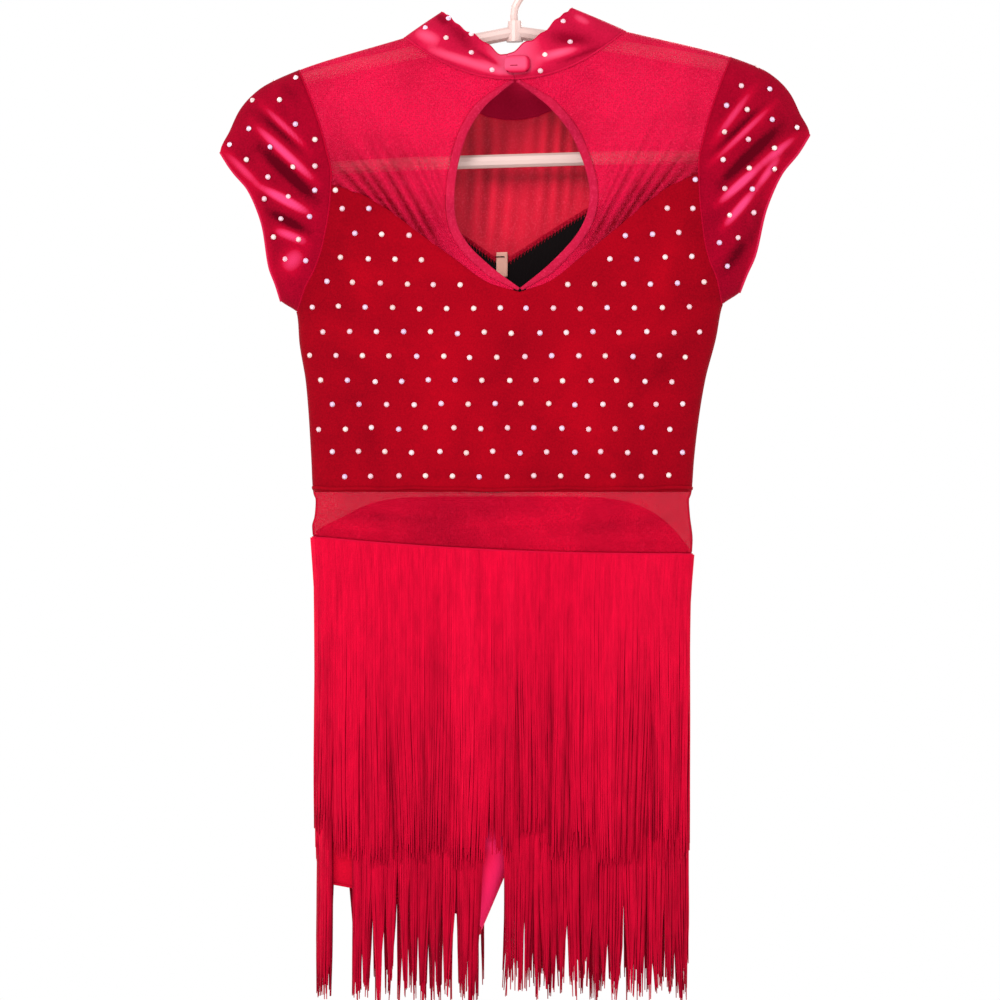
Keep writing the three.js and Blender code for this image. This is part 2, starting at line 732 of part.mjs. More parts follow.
function tube(points, radius, steps) {
  const section = new THREE.Shape();
  section.absarc(0, 0, radius, 0, Math.PI * 2);
  const curve = new THREE.CatmullRomCurve3(points, false, 'centripetal');
  return new THREE.ExtrudeGeometry(section, { steps, extrudePath: curve, curveSegments: 5 });
}

// One tube from the neck round a shoulder, along the bar and back, with its hook on a boss.
function hanger() {
  const { radius, hook, bend, neck, shoulder, bar, boss } = HANGER;
  const at = (x, z) => new THREE.Vector3(x, 0, z);
  const rest = ridge(RIGHT, SLEEVE_SEAM_TOP.z - 4);
  const seat = { x: rest.x, z: rest.z - (CLOTH / 2 + SEAM + radius) * 1.1 };
  const onArm = (share, sag) => at(seat.x * share, lerp(neck, seat.z, share - sag));
  const middle = (seat.z + bar) / 2;
  const half = [
    at(0, neck),
    onArm(0.45, 0.07),
    onArm(0.8, 0.06),
    at(seat.x * 0.96, seat.z + 1.5),
    at(shoulder + 8, middle + 21.7),
    at(shoulder + 14, middle),
    at(shoulder + 4, middle - 27.3),
    at(shoulder - 22, bar),
    at(shoulder * 0.45, bar),
  ];
  const otherHalf = half.slice(1).map((p) => at(-p.x, p.z)).reverse();
  const loop = tube([...half, at(0, bar), ...otherHalf, at(-0.5, neck)], radius, 50);
  const socket = new THREE.CylinderGeometry(radius, boss.radius, boss.tall, 16);
  socket.rotateX(Math.PI / 2).translate(0, 0, neck + 1);
  const centre = hook - bend;
  const crook = [at(0, neck), at(0, neck + 22), at(bend * 0.62, centre - bend * 0.9), at(bend, centre)];
  for (let k = 1; k <= 6; k++) {
    const angle = (Math.PI * k) / 6;
    crook.push(at(bend * Math.cos(angle), centre + bend * Math.sin(angle)));
  }
  crook.push(at(-bend * 0.94, centre - 8));
  return join(loop, socket, tube(crook, hook, 18));
}

// ---- assembly ----

function material(color, roughness) {
  return new THREE.MeshStandardMaterial({ color, roughness, metalness: 0 });
}

const VELVET = material(0xb80720, 0.7);
const MESH = material(0xe81d40, 0.6);
const FRINGE_RED = material(0xd40a31, 0.5);
const LINING_BLACK = material(0x0f0607, 0.8);
const TAB_NUDE = material(0xe4a996, 0.7);
const PLASTIC = material(0xf3ece6, 0.4);

const unitard = new THREE.Group();
unitard.name = 'stage_unitard';

function place(name, geometry, look) {
  const position = geometry.attributes.position;
  for (let k = 0; k < position.count; k++) {
    const p = askew(new THREE.Vector3().fromBufferAttribute(position, k));
    position.setXYZ(k, p.x, p.y, p.z);
  }
  geometry.computeVertexNormals();
  const mesh = new THREE.Mesh(geometry, look);
  mesh.name = name;
  unitard.add(mesh);
}

place('hanger', hanger(), PLASTIC);
place('collar', collar(), VELVET);
place('collar_tab', collarTab(), VELVET);
for (const name of ['left', 'right']) {
  place(`yoke_back_${name}`, yokeBack(name), MESH);
  place(`keyhole_binding_${name}`, keyholeBinding(name), MESH);
  place(`sleeve_${name}`, sleeve(name === 'left' ? LEFT : RIGHT), VELVET);
  place(`shorts_${name}`, shortsHalf(LEGS[name]), VELVET);
}
place('yoke_front', yokeFront(), MESH);
place('bodice_back', bodice('back', BACK), VELVET);
place('bodice_front', bodice('front', FRONT), VELVET);
place('front_lining', frontLining(), LINING_BLACK);
place('lining_tab', liningTab(), TAB_NUDE);
place('midriff_back', midriff(BACK), MESH);
place('midriff_front', midriff(FRONT), MESH);

for (const [name, face] of [['back', BACK], ['front', FRONT]]) {
  place(`fringe_upper_${name}`, fringeTier(face, FRINGE.upper), FRINGE_RED);
  place(`fringe_lower_${name}`, fringeTier(face, FRINGE.lower), FRINGE_RED);
}

export default unitard;
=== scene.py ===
import math

import bpy
import numpy as np
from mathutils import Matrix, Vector


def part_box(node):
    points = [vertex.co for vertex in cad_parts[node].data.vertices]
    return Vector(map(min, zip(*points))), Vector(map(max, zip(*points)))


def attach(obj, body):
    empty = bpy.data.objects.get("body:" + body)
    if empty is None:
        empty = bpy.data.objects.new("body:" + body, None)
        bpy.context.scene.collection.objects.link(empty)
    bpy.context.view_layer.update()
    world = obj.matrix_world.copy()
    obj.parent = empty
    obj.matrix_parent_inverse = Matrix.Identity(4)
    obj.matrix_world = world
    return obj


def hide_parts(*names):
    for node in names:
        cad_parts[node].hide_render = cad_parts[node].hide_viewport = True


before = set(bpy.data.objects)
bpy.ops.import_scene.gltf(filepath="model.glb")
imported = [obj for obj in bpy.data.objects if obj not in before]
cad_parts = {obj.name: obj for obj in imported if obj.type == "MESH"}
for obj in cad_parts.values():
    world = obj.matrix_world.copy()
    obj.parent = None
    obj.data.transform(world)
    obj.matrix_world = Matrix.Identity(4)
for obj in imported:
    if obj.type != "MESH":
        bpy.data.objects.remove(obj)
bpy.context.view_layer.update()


# ---- Studio ----
# A pale room with even light from all round, one broad lamp high on the left, two weaker
# ones that graze the cloth from the sides, and one for the garment's front. The camera
# looks square at the back.
def linear(code):
    """The linear colour of an sRGB hex code."""
    parts = [int(code[k : k + 2], 16) / 255 for k in (1, 3, 5)]
    return [c / 12.92 if c <= 0.04045 else ((c + 0.055) / 1.055) ** 2.4 for c in parts] + [1.0]


def add(tree, kind, numbered=(), **named):
    """Adds a node. Words with a capital are its sockets, with _ for a space, and numbered
    holds sockets by their place. The other words are settings. A node as a value stands
    for its first output."""
    made = tree.nodes.new(kind)
    sockets = dict(numbered)
    for key, value in named.items():
        if key[0].isupper():
            sockets[key.replace("_", " ")] = value
        else:
            setattr(made, key, value)
    for key, value in sockets.items():
        if isinstance(value, bpy.types.Node):
            value = value.outputs[0]
        if isinstance(value, bpy.types.NodeSocket):
            tree.links.new(value, made.inputs[key])
        else:
            made.inputs[key].default_value = value
    return made


def empty_material(name):
    material = bpy.data.materials.new(name)
    material.use_nodes = True
    material.node_tree.nodes.clear()
    return material, material.node_tree


def into_scene(name, data):
    made = bpy.data.objects.new(name, data)
    bpy.context.collection.objects.link(made)
    return made


# in metres: the view's middle, its width at the back's cloth, and how far off the camera is
VIEW_CENTRE = (-0.01305, 0.0, -0.4837)
VIEW_WIDTH = 0.87
CLOTH_PLANE = -0.017
CAMERA_AWAY = 3.2
SENSOR_WIDE = 36

camera = into_scene("camera", bpy.data.cameras.new("camera"))
camera.data.sensor_width = SENSOR_WIDE
camera.data.lens = SENSOR_WIDE * (CAMERA_AWAY + CLOTH_PLANE) / VIEW_WIDTH
camera.location = (VIEW_CENTRE[0], -CAMERA_AWAY, VIEW_CENTRE[2])
camera.rotation_euler = (math.pi / 2, 0, 0)
bpy.context.scene.camera = camera
bpy.context.scene.view_settings.view_transform = "Standard"

LAMPS = {
    # name: place, size and watts
    "key_lamp": ((-1.1, -2.1, 1.1), 1.2, 74),
    "right_lamp": ((1.9, -0.8, 0.1), 1.0, 30),
    "left_lamp": ((-1.9, -0.7, -0.3), 1.0, 22),
    "front_lamp": ((0.6, 2.3, 0.8), 1.3, 60),
}
for lamp_name, (place, size, watts) in LAMPS.items():
    lamp = into_scene(lamp_name, bpy.data.lights.new(lamp_name, "AREA"))
    lamp.data.size = size
    lamp.data.energy = watts
    lamp.location = place
    lamp.rotation_euler = (Vector(VIEW_CENTRE) - Vector(place)).to_track_quat("-Z", "Y").to_euler()

world = bpy.data.worlds.new("pale_room")
world.use_nodes = True
world.node_tree.nodes.clear()
glow = add(world.node_tree, "ShaderNodeBackground", Color=linear("#ffffff"), Strength=1.0)
add(world.node_tree, "ShaderNodeOutputWorld", Surface=glow)
bpy.context.scene.world = world

FLOOR_HALF, FLOOR_LEVEL = 2.3, -1.3
PAPER_CLOUDS = 30.0  # in a metre
floor_mesh = bpy.data.meshes.new("floor")
floor_mesh.from_pydata(
    [(x, y, FLOOR_LEVEL) for x, y in ((-1, -1), (1, -1), (1, 1), (-1, 1))], [], [(0, 1, 2, 3)]
)
for corner in floor_mesh.vertices:
    corner.co.x *= FLOOR_HALF
    corner.co.y *= FLOOR_HALF
floor = into_scene("floor", floor_mesh)
paper, tree = empty_material("pale_paper")
where = add(tree, "ShaderNodeTexCoord").outputs["Object"]
fibre = add(tree, "ShaderNodeTexNoise", Vector=where, Scale=PAPER_CLOUDS)
tone = add(
    tree, "ShaderNodeMix", {0: fibre, 6: linear("#f1efee"), 7: linear("#f7f6f5")}, data_type="RGBA"
)
skin = add(tree, "ShaderNodeBsdfPrincipled", Base_Color=tone.outputs[2], Roughness=0.9)
add(tree, "ShaderNodeOutputMaterial", Surface=skin)
floor_mesh.materials.append(paper)


# ---- Hanger ----
# A tubular hanger with its hook, moulded in one piece from off-white polypropylene.
# Moulding leaves a satin skin with faint flow marks.
hanger_plastic, tree = empty_material("moulded_polypropylene")
where = add(tree, "ShaderNodeTexCoord").outputs["Object"]
FLOW_MARK = 0.03
flow = add(tree, "ShaderNodeTexNoise", Vector=where, Scale=1 / FLOW_MARK, Detail=4.0)
tone = add(
    tree, "ShaderNodeMix", {0: flow, 6: linear("#ad918c"), 7: linear("#b89d97")}, data_type="RGBA"
)
grain = add(tree, "ShaderNodeBump", Height=flow, Strength=0.1, Distance=0.0004)
skin = add(
    tree, "ShaderNodeBsdfPrincipled", Base_Color=tone.outputs[2], Roughness=0.38, IOR=1.49,
    Normal=grain,
)
add(tree, "ShaderNodeOutputMaterial", Surface=skin)
for material_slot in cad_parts["hanger"].material_slots:
    material_slot.material = hanger_plastic


# ---- Bodice ----
# Two velvet panels, back and front, with a V-shaped top edge that rises to the armholes.
# They are sewn together at the sides, and hang flat with a few soft drag lines.
MM = 0.001
CLOTH = 1.6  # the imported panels' wall, which the cloth lies in the middle of
SEAM = 0.4
BACK, FRONT = -1, 1
LEFT, RIGHT = -1, 1
FACES = {"back": BACK, "front": FRONT}
SIDES = {"left": LEFT, "right": RIGHT}
VELVET_THICK = 1.2

UNDERARM_LEVEL = -316.7
BODICE_HEM = -476.8
V_POINT_ACROSS = {"back": 8.0, "front": -8.8}
LEAN, SWAY, LEAN_FROM = 0.03, -11, -186  # the hanger sits a little askew
# the shorts' top is hitched up at the left: by how much, how it fades to the right, and
# the levels between which it comes and goes
HITCH = {"high": 15, "wide": 330, "power": 2.2, "foot": -640, "top": -530, "end": -492}


def through(*rows):
    """A smooth function through rows of (where, value) that never overshoots them."""
    at, value = np.array(sorted(rows), float).T
    rise = np.diff(value) / np.diff(at)
    slope = np.concatenate([rise[:1], np.zeros(len(at) - 2), rise[-1:]])
    product, total = rise[:-1] * rise[1:], rise[:-1] + rise[1:]
    rising = product > 0
    slope[1:-1][rising] = 2 * product[rising] / total[rising]

    def curve(t):
        t = np.clip(t, at[0], at[-1])
        k = np.clip(np.searchsorted(at, t, side="right") - 1, 0, len(at) - 2)
        span = at[k + 1] - at[k]
        f = (t - at[k]) / span
        g = 1 - f
        ends = value[k] * (1 + 2 * f) * g * g + value[k + 1] * f * f * (3 - 2 * f)
        return ends + span * f * g * (slope[k] * g - slope[k + 1] * f)

    return curve


# (height, half the width of the flat garment)
outline_half = through(
    (-76.6, 96), (-102.7, 190), (-118.3, 224), (-135.7, 241), (-153.1, 249.5), (-172.3, 258),
    (-205.3, 250), (-240.1, 240), (-274.9, 228), (-292.3, 215), (-306.2, 200.3), (-316.7, 186.3),
    (-344.5, 182.3), (-379.3, 174.9), (-414.1, 170.5), (-448.9, 167.5), (-476.8, 165.7),
    (-483.7, 163.4), (-496.8, 164.2), (-518.5, 166.6), (-529.8, 166),
)
# (height, half the depth of the hollow in it)
depth_half = through(
    (-76.6, 17), (-118.3, 26), (-150, 25), (-200, 22), (-260, 20), (-317, 19), (-400, 18.5),
    (-476.8, 17), (-496.8, 16.5), (-529.8, 18.5), (-657.7, 19.2), (-792.6, 19.2), (-860, 18),
)
# (height, half the distance between the armholes)
armhole_half = through(
    (-102.7, 190), (-127, 180), (-153, 171), (-175, 165), (-195, 161), (-214, 161.5),
    (-257.5, 167), (-279, 173), (-294, 180), (-316.7, 186.1),
)
# (share of the way from the V point to the armhole, height of the velvet's top edge)
v_seam = {
    "back": through(
        (0, -302.8),
        (0.137, -294.9),
        (0.32, -273.2),
        (0.53, -248),
        (0.7, -227),
        (0.85, -212.5),
        (1, -203.6),
    ),
    "front": through((0, -276.7), (0.236, -250.6), (0.45, -229.7), (0.7, -214), (1, -203.6)),
}


def mix(a, b, share):
    return a + (b - a) * share


def ease(t, low, high):
    """0 to 1 as t goes from low to high, level at both ends."""
    share = np.clip((t - low) / (high - low), 0, 1)
    return share * share * (3 - 2 * share)


def lens_depth(x, z):
    """The flat garment is a thin lens: deep on its centre line, closed at its outline."""
    across = np.abs(x) / (outline_half(z) - CLOTH / 2)
    return depth_half(z) * np.sqrt(np.maximum(0, 1 - across**2))


def on_cloth(face, x, z, relief=0.0):
    depth = np.maximum(SEAM / 2, lens_depth(x, z) + relief)
    return np.stack(np.broadcast_arrays(x, face * depth, z), -1)


def askew(points):
    """Shears points as the askew hanger does, and hitches the shorts' top up at the left."""
    x, y, z = points[..., 0], points[..., 1], points[..., 2]
    fade = ease(z, LEAN_FROM, BODICE_HEM)
    leftward = np.clip(0.5 - x / HITCH["wide"], 0, 1) ** HITCH["power"]
    above = ease(z, HITCH["top"], HITCH["end"])
    hitched = leftward * ease(z, HITCH["foot"], HITCH["top"]) * (1 - above)
    level = z + LEAN * x * (1 - fade) + HITCH["high"] * hitched
    return np.stack([x + SWAY * fade, y, level], -1)


def crease_relief(x, z, creases):
    """Soft ridges and troughs: (from x, z, to x, z, half width, height) for each."""
    relief = np.zeros(np.broadcast(x, z).shape)
    for x0, z0, x1, z1, wide, high in creases:
        run = (x1 - x0, z1 - z0)
        share = ((x - x0) * run[0] + (z - z0) * run[1]) / (run[0] ** 2 + run[1] ** 2)
        near = np.clip(share, 0, 1)
        away = np.hypot(x - x0 - near * run[0], z - z0 - near * run[1])
        along = np.sin(np.pi * np.clip(near, 0.04, 0.96)) ** 0.6
        relief += high * np.exp(-((away / wide) ** 2)) * along
    return relief


def lattice(rows, cols):
    """Shares down and across a panel."""
    return np.linspace(0, 1, rows + 1)[:, None], np.linspace(0, 1, cols + 1)[None, :]


def cloth_object(name, points, faces, material, painted_light, flat=None):
    """A smooth object from points in millimetres, with its painted light and its cut's map."""
    mesh = bpy.data.meshes.new(name)
    mesh.from_pydata((askew(points) * MM).tolist(), [], faces)
    if flat is not None:
        layer = mesh.uv_layers.new(name="cut")
        corners = np.empty(len(mesh.loops), int)
        mesh.loops.foreach_get("vertex_index", corners)
        layer.data.foreach_set("uv", flat[corners].ravel())
    mesh.polygons.foreach_set("use_smooth", [True] * len(mesh.polygons))
    mesh.materials.append(material)
    layer = mesh.attributes.new("painted_light", "FLOAT", "POINT")
    layer.data.foreach_set("value", painted_light)
    return into_scene(name, mesh)


def panel(name, grid, thick, material, offset=0.0, face=0, painted_light=0.0):
    """A closed thin shell round a grid of points. One with a face stays on that side, and
    painted_light says where its colour gets a painted highlight (above 0) or painted shade
    (below)."""
    rows, cols = grid.shape[:2]
    normal = np.cross(np.gradient(grid, axis=0), np.gradient(grid, axis=1))
    normal /= np.maximum(np.linalg.norm(normal, axis=-1, keepdims=True), 1e-9)
    skins = [grid + normal * (offset + thick / 2), grid + normal * (offset - thick / 2)]
    points = np.concatenate([skin.reshape(-1, 3) for skin in skins])
    if face:
        points[:, 1] = face * np.maximum(face * points[:, 1], SEAM / 2)
    at = np.arange(rows * cols).reshape(rows, cols)
    under = at + rows * cols
    corners = [at[:-1, :-1], at[1:, :-1], at[1:, 1:], at[:-1, 1:]]
    below = [corner + rows * cols for corner in corners[::-1]]
    faces = [np.stack(corners, -1).reshape(-1, 4), np.stack(below, -1).reshape(-1, 4)]
    rims = [
        (at[1:, 0], at[:-1, 0], under[:-1, 0], under[1:, 0]),
        (at[:-1, -1], at[1:, -1], under[1:, -1], under[:-1, -1]),
        (at[0, :-1], at[0, 1:], under[0, 1:], under[0, :-1]),
        (at[-1, 1:], at[-1, :-1], under[-1, :-1], under[-1, 1:]),
    ]
    faces += [np.stack(rim, -1) for rim in rims]
    middle = grid[rows // 2], grid[:, cols // 2]
    wide, tall = (np.linalg.norm(np.diff(line, axis=0), axis=-1).sum() * MM for line in middle)
    down, across = lattice(rows - 1, cols - 1)
    flat = np.stack(np.broadcast_arrays(across * wide, (1 - down) * tall), -1).reshape(-1, 2)
    painted_light = np.tile(np.broadcast_to(painted_light, (rows, cols)).ravel(), 2)
    faces = np.concatenate(faces).tolist()
    return cloth_object(name, points, faces, material, painted_light, np.tile(flat, (2, 1)))


def velvet_of(name, pile, hollow, highlight_red, sheen):
    """Stretch velvet: knitted back, short dense pile that goes dark in patches where it is brushed
    over, with painted shade in a fold's hollow and a painted pink highlight along its crest. pile,
    hollow and highlight_red are those reds."""
    material, tree = empty_material(name)
    where = add(tree, "ShaderNodeTexCoord").outputs["Object"]
    brushed_patch, pile_tuft = 0.055, 0.0016  # a real tuft is 0.3 mm, too fine to show
    brushed = add(
        tree, "ShaderNodeTexNoise", Vector=where, Scale=1 / brushed_patch, Detail=5.0,
        Roughness=0.62, Distortion=0.7,
    )
    tufts = add(tree, "ShaderNodeTexNoise", Vector=where, Scale=1 / pile_tuft, Detail=2.0)
    together = add(tree, "ShaderNodeMath", {0: brushed, 1: tufts}, operation="ADD")
    own_painted_light = add(tree, "ShaderNodeAttribute", attribute_name="painted_light").outputs["Fac"]
    shown = add(
        tree, "ShaderNodeMath", {0: own_painted_light, 1: 0.9, 2: together}, operation="MULTIPLY_ADD"
    )
    # painted_light here is the piece's painted shade and highlight added to the pile's random
    # brushed tone
    painted_light = add(tree, "ShaderNodeMapRange", Value=shown, From_Min=0.1, From_Max=1.9)
    dye_and_shade = add(
        tree, "ShaderNodeMix", {0: painted_light, 6: linear(hollow), 7: linear(pile)}, data_type="RGBA"
    )
    # a painted pink highlight where the painted light is high, along a fold's crest
    on_highlight = add(tree, "ShaderNodeMapRange", Value=own_painted_light, From_Min=0.6, From_Max=2.0)
    flash = add(
        tree, "ShaderNodeMix", {0: on_highlight, 6: dye_and_shade.outputs[2], 7: linear(highlight_red)}, data_type="RGBA"
    )
    rough = add(tree, "ShaderNodeMapRange", Value=tufts, To_Min=0.6, To_Max=0.85)
    nap = add(tree, "ShaderNodeBump", Height=together, Strength=0.25, Distance=0.0006)
    skin = add(
        tree, "ShaderNodeBsdfPrincipled", Base_Color=flash.outputs[2], Roughness=rough,
        Normal=nap, Specular_IOR_Level=0.08, Specular_Tint=linear("#ff3a5c"), Sheen_Weight=sheen,
        Sheen_Roughness=0.32, Sheen_Tint=linear("#ff5a86"),
    )
    add(tree, "ShaderNodeOutputMaterial", Surface=skin)
    return material


velvet = velvet_of("stretch_velvet", "#8e0312", "#4d0109", "#9c2042", 0.05)


def body_half(z):
    return np.where(z > UNDERARM_LEVEL, armhole_half(z) - SEAM / 2, outline_half(z) - CLOTH / 2)


def bodice_at(name, across, down):
    """(x, z) of a bodice panel: across from -1 to 1, down from the V seam to the hem."""
    z = mix(v_seam[name](np.abs(across)) - SEAM / 2, BODICE_HEM + SEAM / 2, down)
    shift = V_POINT_ACROSS[name] * (1 - np.abs(across)) * (1 - down)
    return across * body_half(z) + shift, z


# (from x, z, to x, z, half width, height)
BODICE_CREASES = {
    "back": [
        (-178, -322, -96, -352, 9, 0.9),
        (-172, -338, -110, -380, 8, -0.7),
        (176, -324, 92, -350, 10, 0.9),
        (170, -342, 118, -388, 8, -0.8),
        (-150, -232, -120, -330, 10, 0.8),
        (148, -230, 122, -322, 11, 0.9),
        (-40, -330, -62, -462, 18, 0.8),
        (52, -322, 74, -460, 20, 0.8),
        (-120, -400, -112, -474, 12, -0.8),
        (112, -396, 118, -474, 12, -0.7),
        (6, -316, 2, -420, 14, -0.6),
        (-90, -462, 90, -464, 7, -0.5),
    ],
    "front": [
        (-176, -324, -90, -356, 10, 0.9),
        (178, -322, 98, -350, 9, 0.9),
        (-70, -290, -84, -430, 20, 1.0),
        (64, -286, 80, -440, 18, 0.9),
        (-8, -300, -14, -410, 13, -0.7),
        (-124, -396, -118, -472, 12, -0.8),
        (124, -404, 116, -472, 12, -0.7),
    ],
}


def fade_at_sides(across):
    """Creases die out close to the side seams."""
    return 1 - across**8


def bodice_panel(name, face, rows=76, cols=120):
    down, across = lattice(rows, cols)
    crowding = 0.3  # of the columns, towards the sides
    across = np.sin((across - 0.5) * np.pi) * crowding + (2 * across - 1) * (1 - crowding)
    x, z = bodice_at(name, across, down)
    relief = crease_relief(x, z, BODICE_CREASES[name]) * fade_at_sides(across)
    # painted light: lighter on the creases' ridges, painted shade in their troughs and towards the
    # side seams, where the cloth turns from the light
    painted_light = relief * 0.4 - 0.45 * np.abs(across) ** 5 + 0.15
    grid = on_cloth(face, x, z, relief)
    return panel(f"bodice_{name}_panel", grid, VELVET_THICK, velvet, face=face, painted_light=painted_light)


bodice_back = bodice_panel("back", BACK)
bodice_front = bodice_panel("front", FRONT)
for piece, cad_node in ((bodice_back, "bodice_back"), (bodice_front, "bodice_front")):
    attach(piece, "root")
    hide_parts(cad_node)


def roll(name, path, radius, material, sides=8, painted_light=0.0):
    """A closed round cord of cloth or thread along a path of points in millimetres."""
    count = len(path)
    along = np.gradient(path, axis=0)
    along /= np.linalg.norm(along, axis=1, keepdims=True)
    side, frames = np.cross(along[0], (0.31, 0.17, 1.0)), []
    for heading in along:
        side = side - heading * side.dot(heading)
        side = side / np.linalg.norm(side)
        frames.append(side)
    side = np.array(frames)[:, None]
    out = np.cross(frames, along)[:, None]
    angle = np.linspace(0, 2 * np.pi, sides, endpoint=False)[None, :, None]
    ring = path[:, None] + radius * (np.cos(angle) * side + np.sin(angle) * out)
    points = np.concatenate([ring.reshape(-1, 3), path[:1], path[-1:]])
    at = np.arange(count * sides).reshape(count, sides)
    turned = np.roll(at, -1, axis=1)
    faces = np.stack([at[:-1], turned[:-1], turned[1:], at[1:]], -1).reshape(-1, 4).tolist()
    for j in range(sides):
        faces.append((int(turned[0, j]), int(at[0, j]), count * sides))
        faces.append((int(at[-1, j]), int(turned[-1, j]), count * sides + 1))
    return cloth_object(name, points, faces, material, np.full(len(points), painted_light))


HEM_ROLL = 1.7
# the side seams' radius, how far in they lie, and the level where they run into the shorts
SIDE_SEAM, SIDE_SEAM_IN, SEAM_FOOT = 1.0, 0.3, -529.3


def bodice_hem(name, face):
    across = np.sin(np.linspace(-0.492, 0.492, 90) * np.pi)
    just_above_hem = 0.988
    x, z = bodice_at(name, across, np.full_like(across, just_above_hem))
    wave = 0.5 * np.sin(9 * across + face) + 0.4 * np.sin(23 * across)
    path = on_cloth(face, x, z + wave)
    path[:, 1] += face * (HEM_ROLL * 0.5)
    return roll(f"bodice_hem_{name}", path, HEM_ROLL, velvet)


for name, face in FACES.items():
    hem = bodice_hem(name, face)
    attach(hem, "root")

seam_z = np.linspace(UNDERARM_LEVEL + 1, SEAM_FOOT, 60)
for name, side in SIDES.items():
    edge = side * (outline_half(seam_z) - CLOTH / 2 - SIDE_SEAM_IN)
    path = np.stack([edge, np.zeros_like(edge), seam_z], -1)
    side_seam = roll(f"side_seam_{name}", path, SIDE_SEAM, velvet)
    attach(side_seam, "root")


# ---- Mesh yoke ----
# Sheer stretch mesh over shoulders and upper back, gathered where it meets the velvet.
# The back is two halves either side of a keyhole, whose edge is bound with folded mesh.
MESH_THICK = 0.7
NECK_POINT = (96, -76.6)
SLEEVE_SEAM_TOP = -102.7
V_SEAM_GAP, NECK_GAP = -0.7, -0.6  # tucked into the seams
neck_low = {BACK: -118.3, FRONT: -148.8}
NECK_ROUNDNESS = 2.1
BACK_HALF = 165  # about half the way between the armholes


def mesh_of_knit(name, thread, shadow, glint, open_share):
    """Power mesh: a fine knit with holes between its threads, faint painted glints on them, and
    painted shade and highlight along its gathers.
    Its real holes are 0.8 mm apart, and are drawn 1.7 mm apart so that they show."""
    material, tree = empty_material(name)
    where = add(tree, "ShaderNodeTexCoord").outputs["Object"]
    hole_pitch, glint_pitch, cloud = 0.0017, 0.0015, 0.04
    holes = add(tree, "ShaderNodeTexVoronoi", Vector=where, Scale=1 / hole_pitch, Randomness=0.55)
    glint_spots = add(tree, "ShaderNodeTexNoise", Vector=where, Scale=1 / glint_pitch, Detail=1.0)
    drift = add(tree, "ShaderNodeTexNoise", Vector=where, Scale=1 / cloud, Detail=4.0)
    solid = add(
        tree, "ShaderNodeMapRange", Value=holes.outputs["Distance"], From_Min=0.1, From_Max=0.6,
        To_Min=1 - 1.35 * open_share, To_Max=1 - 0.65 * open_share,
    )
    own_painted_light = add(tree, "ShaderNodeAttribute", attribute_name="painted_light").outputs["Fac"]
    # painted shade and highlight from the piece's painted_light, over a random drift of tone, move
    # it between thread and shadow
    shown = add(tree, "ShaderNodeMath", {0: own_painted_light, 1: 0.5, 2: drift}, operation="MULTIPLY_ADD")
    dye_and_shade = add(
        tree, "ShaderNodeMix", {0: shown, 6: linear(shadow), 7: linear(thread)}, data_type="RGBA",
        clamp_factor=True,
    )
    # painted glints speckled over the threads
    spark = add(tree, "ShaderNodeMapRange", Value=glint_spots, From_Min=0.5, From_Max=0.8, To_Max=0.5)
    lit = add(
        tree, "ShaderNodeMix", {0: spark, 6: dye_and_shade.outputs[2], 7: linear(glint)}, data_type="RGBA"
    )
    knit = add(
        tree, "ShaderNodeBump", Height=holes.outputs["Distance"], Strength=0.3, Distance=0.0004
    )
    skin = add(
        tree, "ShaderNodeBsdfPrincipled", Base_Color=lit.outputs[2], Roughness=0.55,
        Specular_IOR_Level=0.06, Specular_Tint=linear("#ff3a5c"), Alpha=solid, Normal=knit,
        Sheen_Weight=0.08, Sheen_Roughness=0.4, Sheen_Tint=linear("#ff7a9a"),
    )
    add(tree, "ShaderNodeOutputMaterial", Surface=skin)
    return material


yoke_mesh = mesh_of_knit("power_mesh", "#ba0e36", "#6a0311", "#c8284c", 0.5)
front_mesh = mesh_of_knit("power_mesh_front", "#c4142e", "#86061a", "#cc3048", 0.11)
midriff_mesh = mesh_of_knit("power_mesh_midriff", "#b40626", "#82041a", "#b81434", 0.45)


def neck_height(face, x):
    return mix(neck_low[face], NECK_POINT[1], (np.abs(x) / NECK_POINT[0]) ** NECK_ROUNDNESS)


def v_seam_at(name, across, gap):
    z = v_seam[name](np.abs(across)) + gap
    shift = V_POINT_ACROSS[name] * (1 - np.abs(across))
    return np.stack([across * (armhole_half(z) - SEAM / 2) + shift, z], -1)


def armhole_at(side, z):
    return np.stack([side * (armhole_half(z) - SEAM / 2), z], -1)


def shoulder_at(face, side, t):
    """Along the shoulder and then the neck seam, 0 to 1 from the sleeve."""
    ridge_share = 0.45
    neck_top = NECK_POINT[1] - NECK_GAP
    ridge_z = mix(SLEEVE_SEAM_TOP - SEAM / 2, neck_top, np.minimum(t / ridge_share, 1))
    ridge_x = outline_half(ridge_z) - CLOTH / 2
    x = ridge_x * (1 - np.maximum(0, (t - ridge_share) / (1 - ridge_share)))
    z = np.where(t <= ridge_share, ridge_z, neck_height(face, x) - NECK_GAP)
    return np.stack([side * x, z], -1)


KEYHOLE = {
    "left": [
        (-1.2, -120.5),
        (-14, -130.5),
        (-29, -144.5),
        (-43, -168),
        (-51.5, -203),
        (-51, -236),
        (-41, -258),
        (-20, -279),
        (7.6, -300),
    ],
    "right": [
        (1.2, -120.5),
        (15, -131),
        (32, -146),
        (50, -170),
        (63, -204),
        (65, -229),
        (56, -253),
        (34, -278),
        (8.4, -300),
    ],
}
BINDING_WIDE, BINDING_END = 7, 1.6


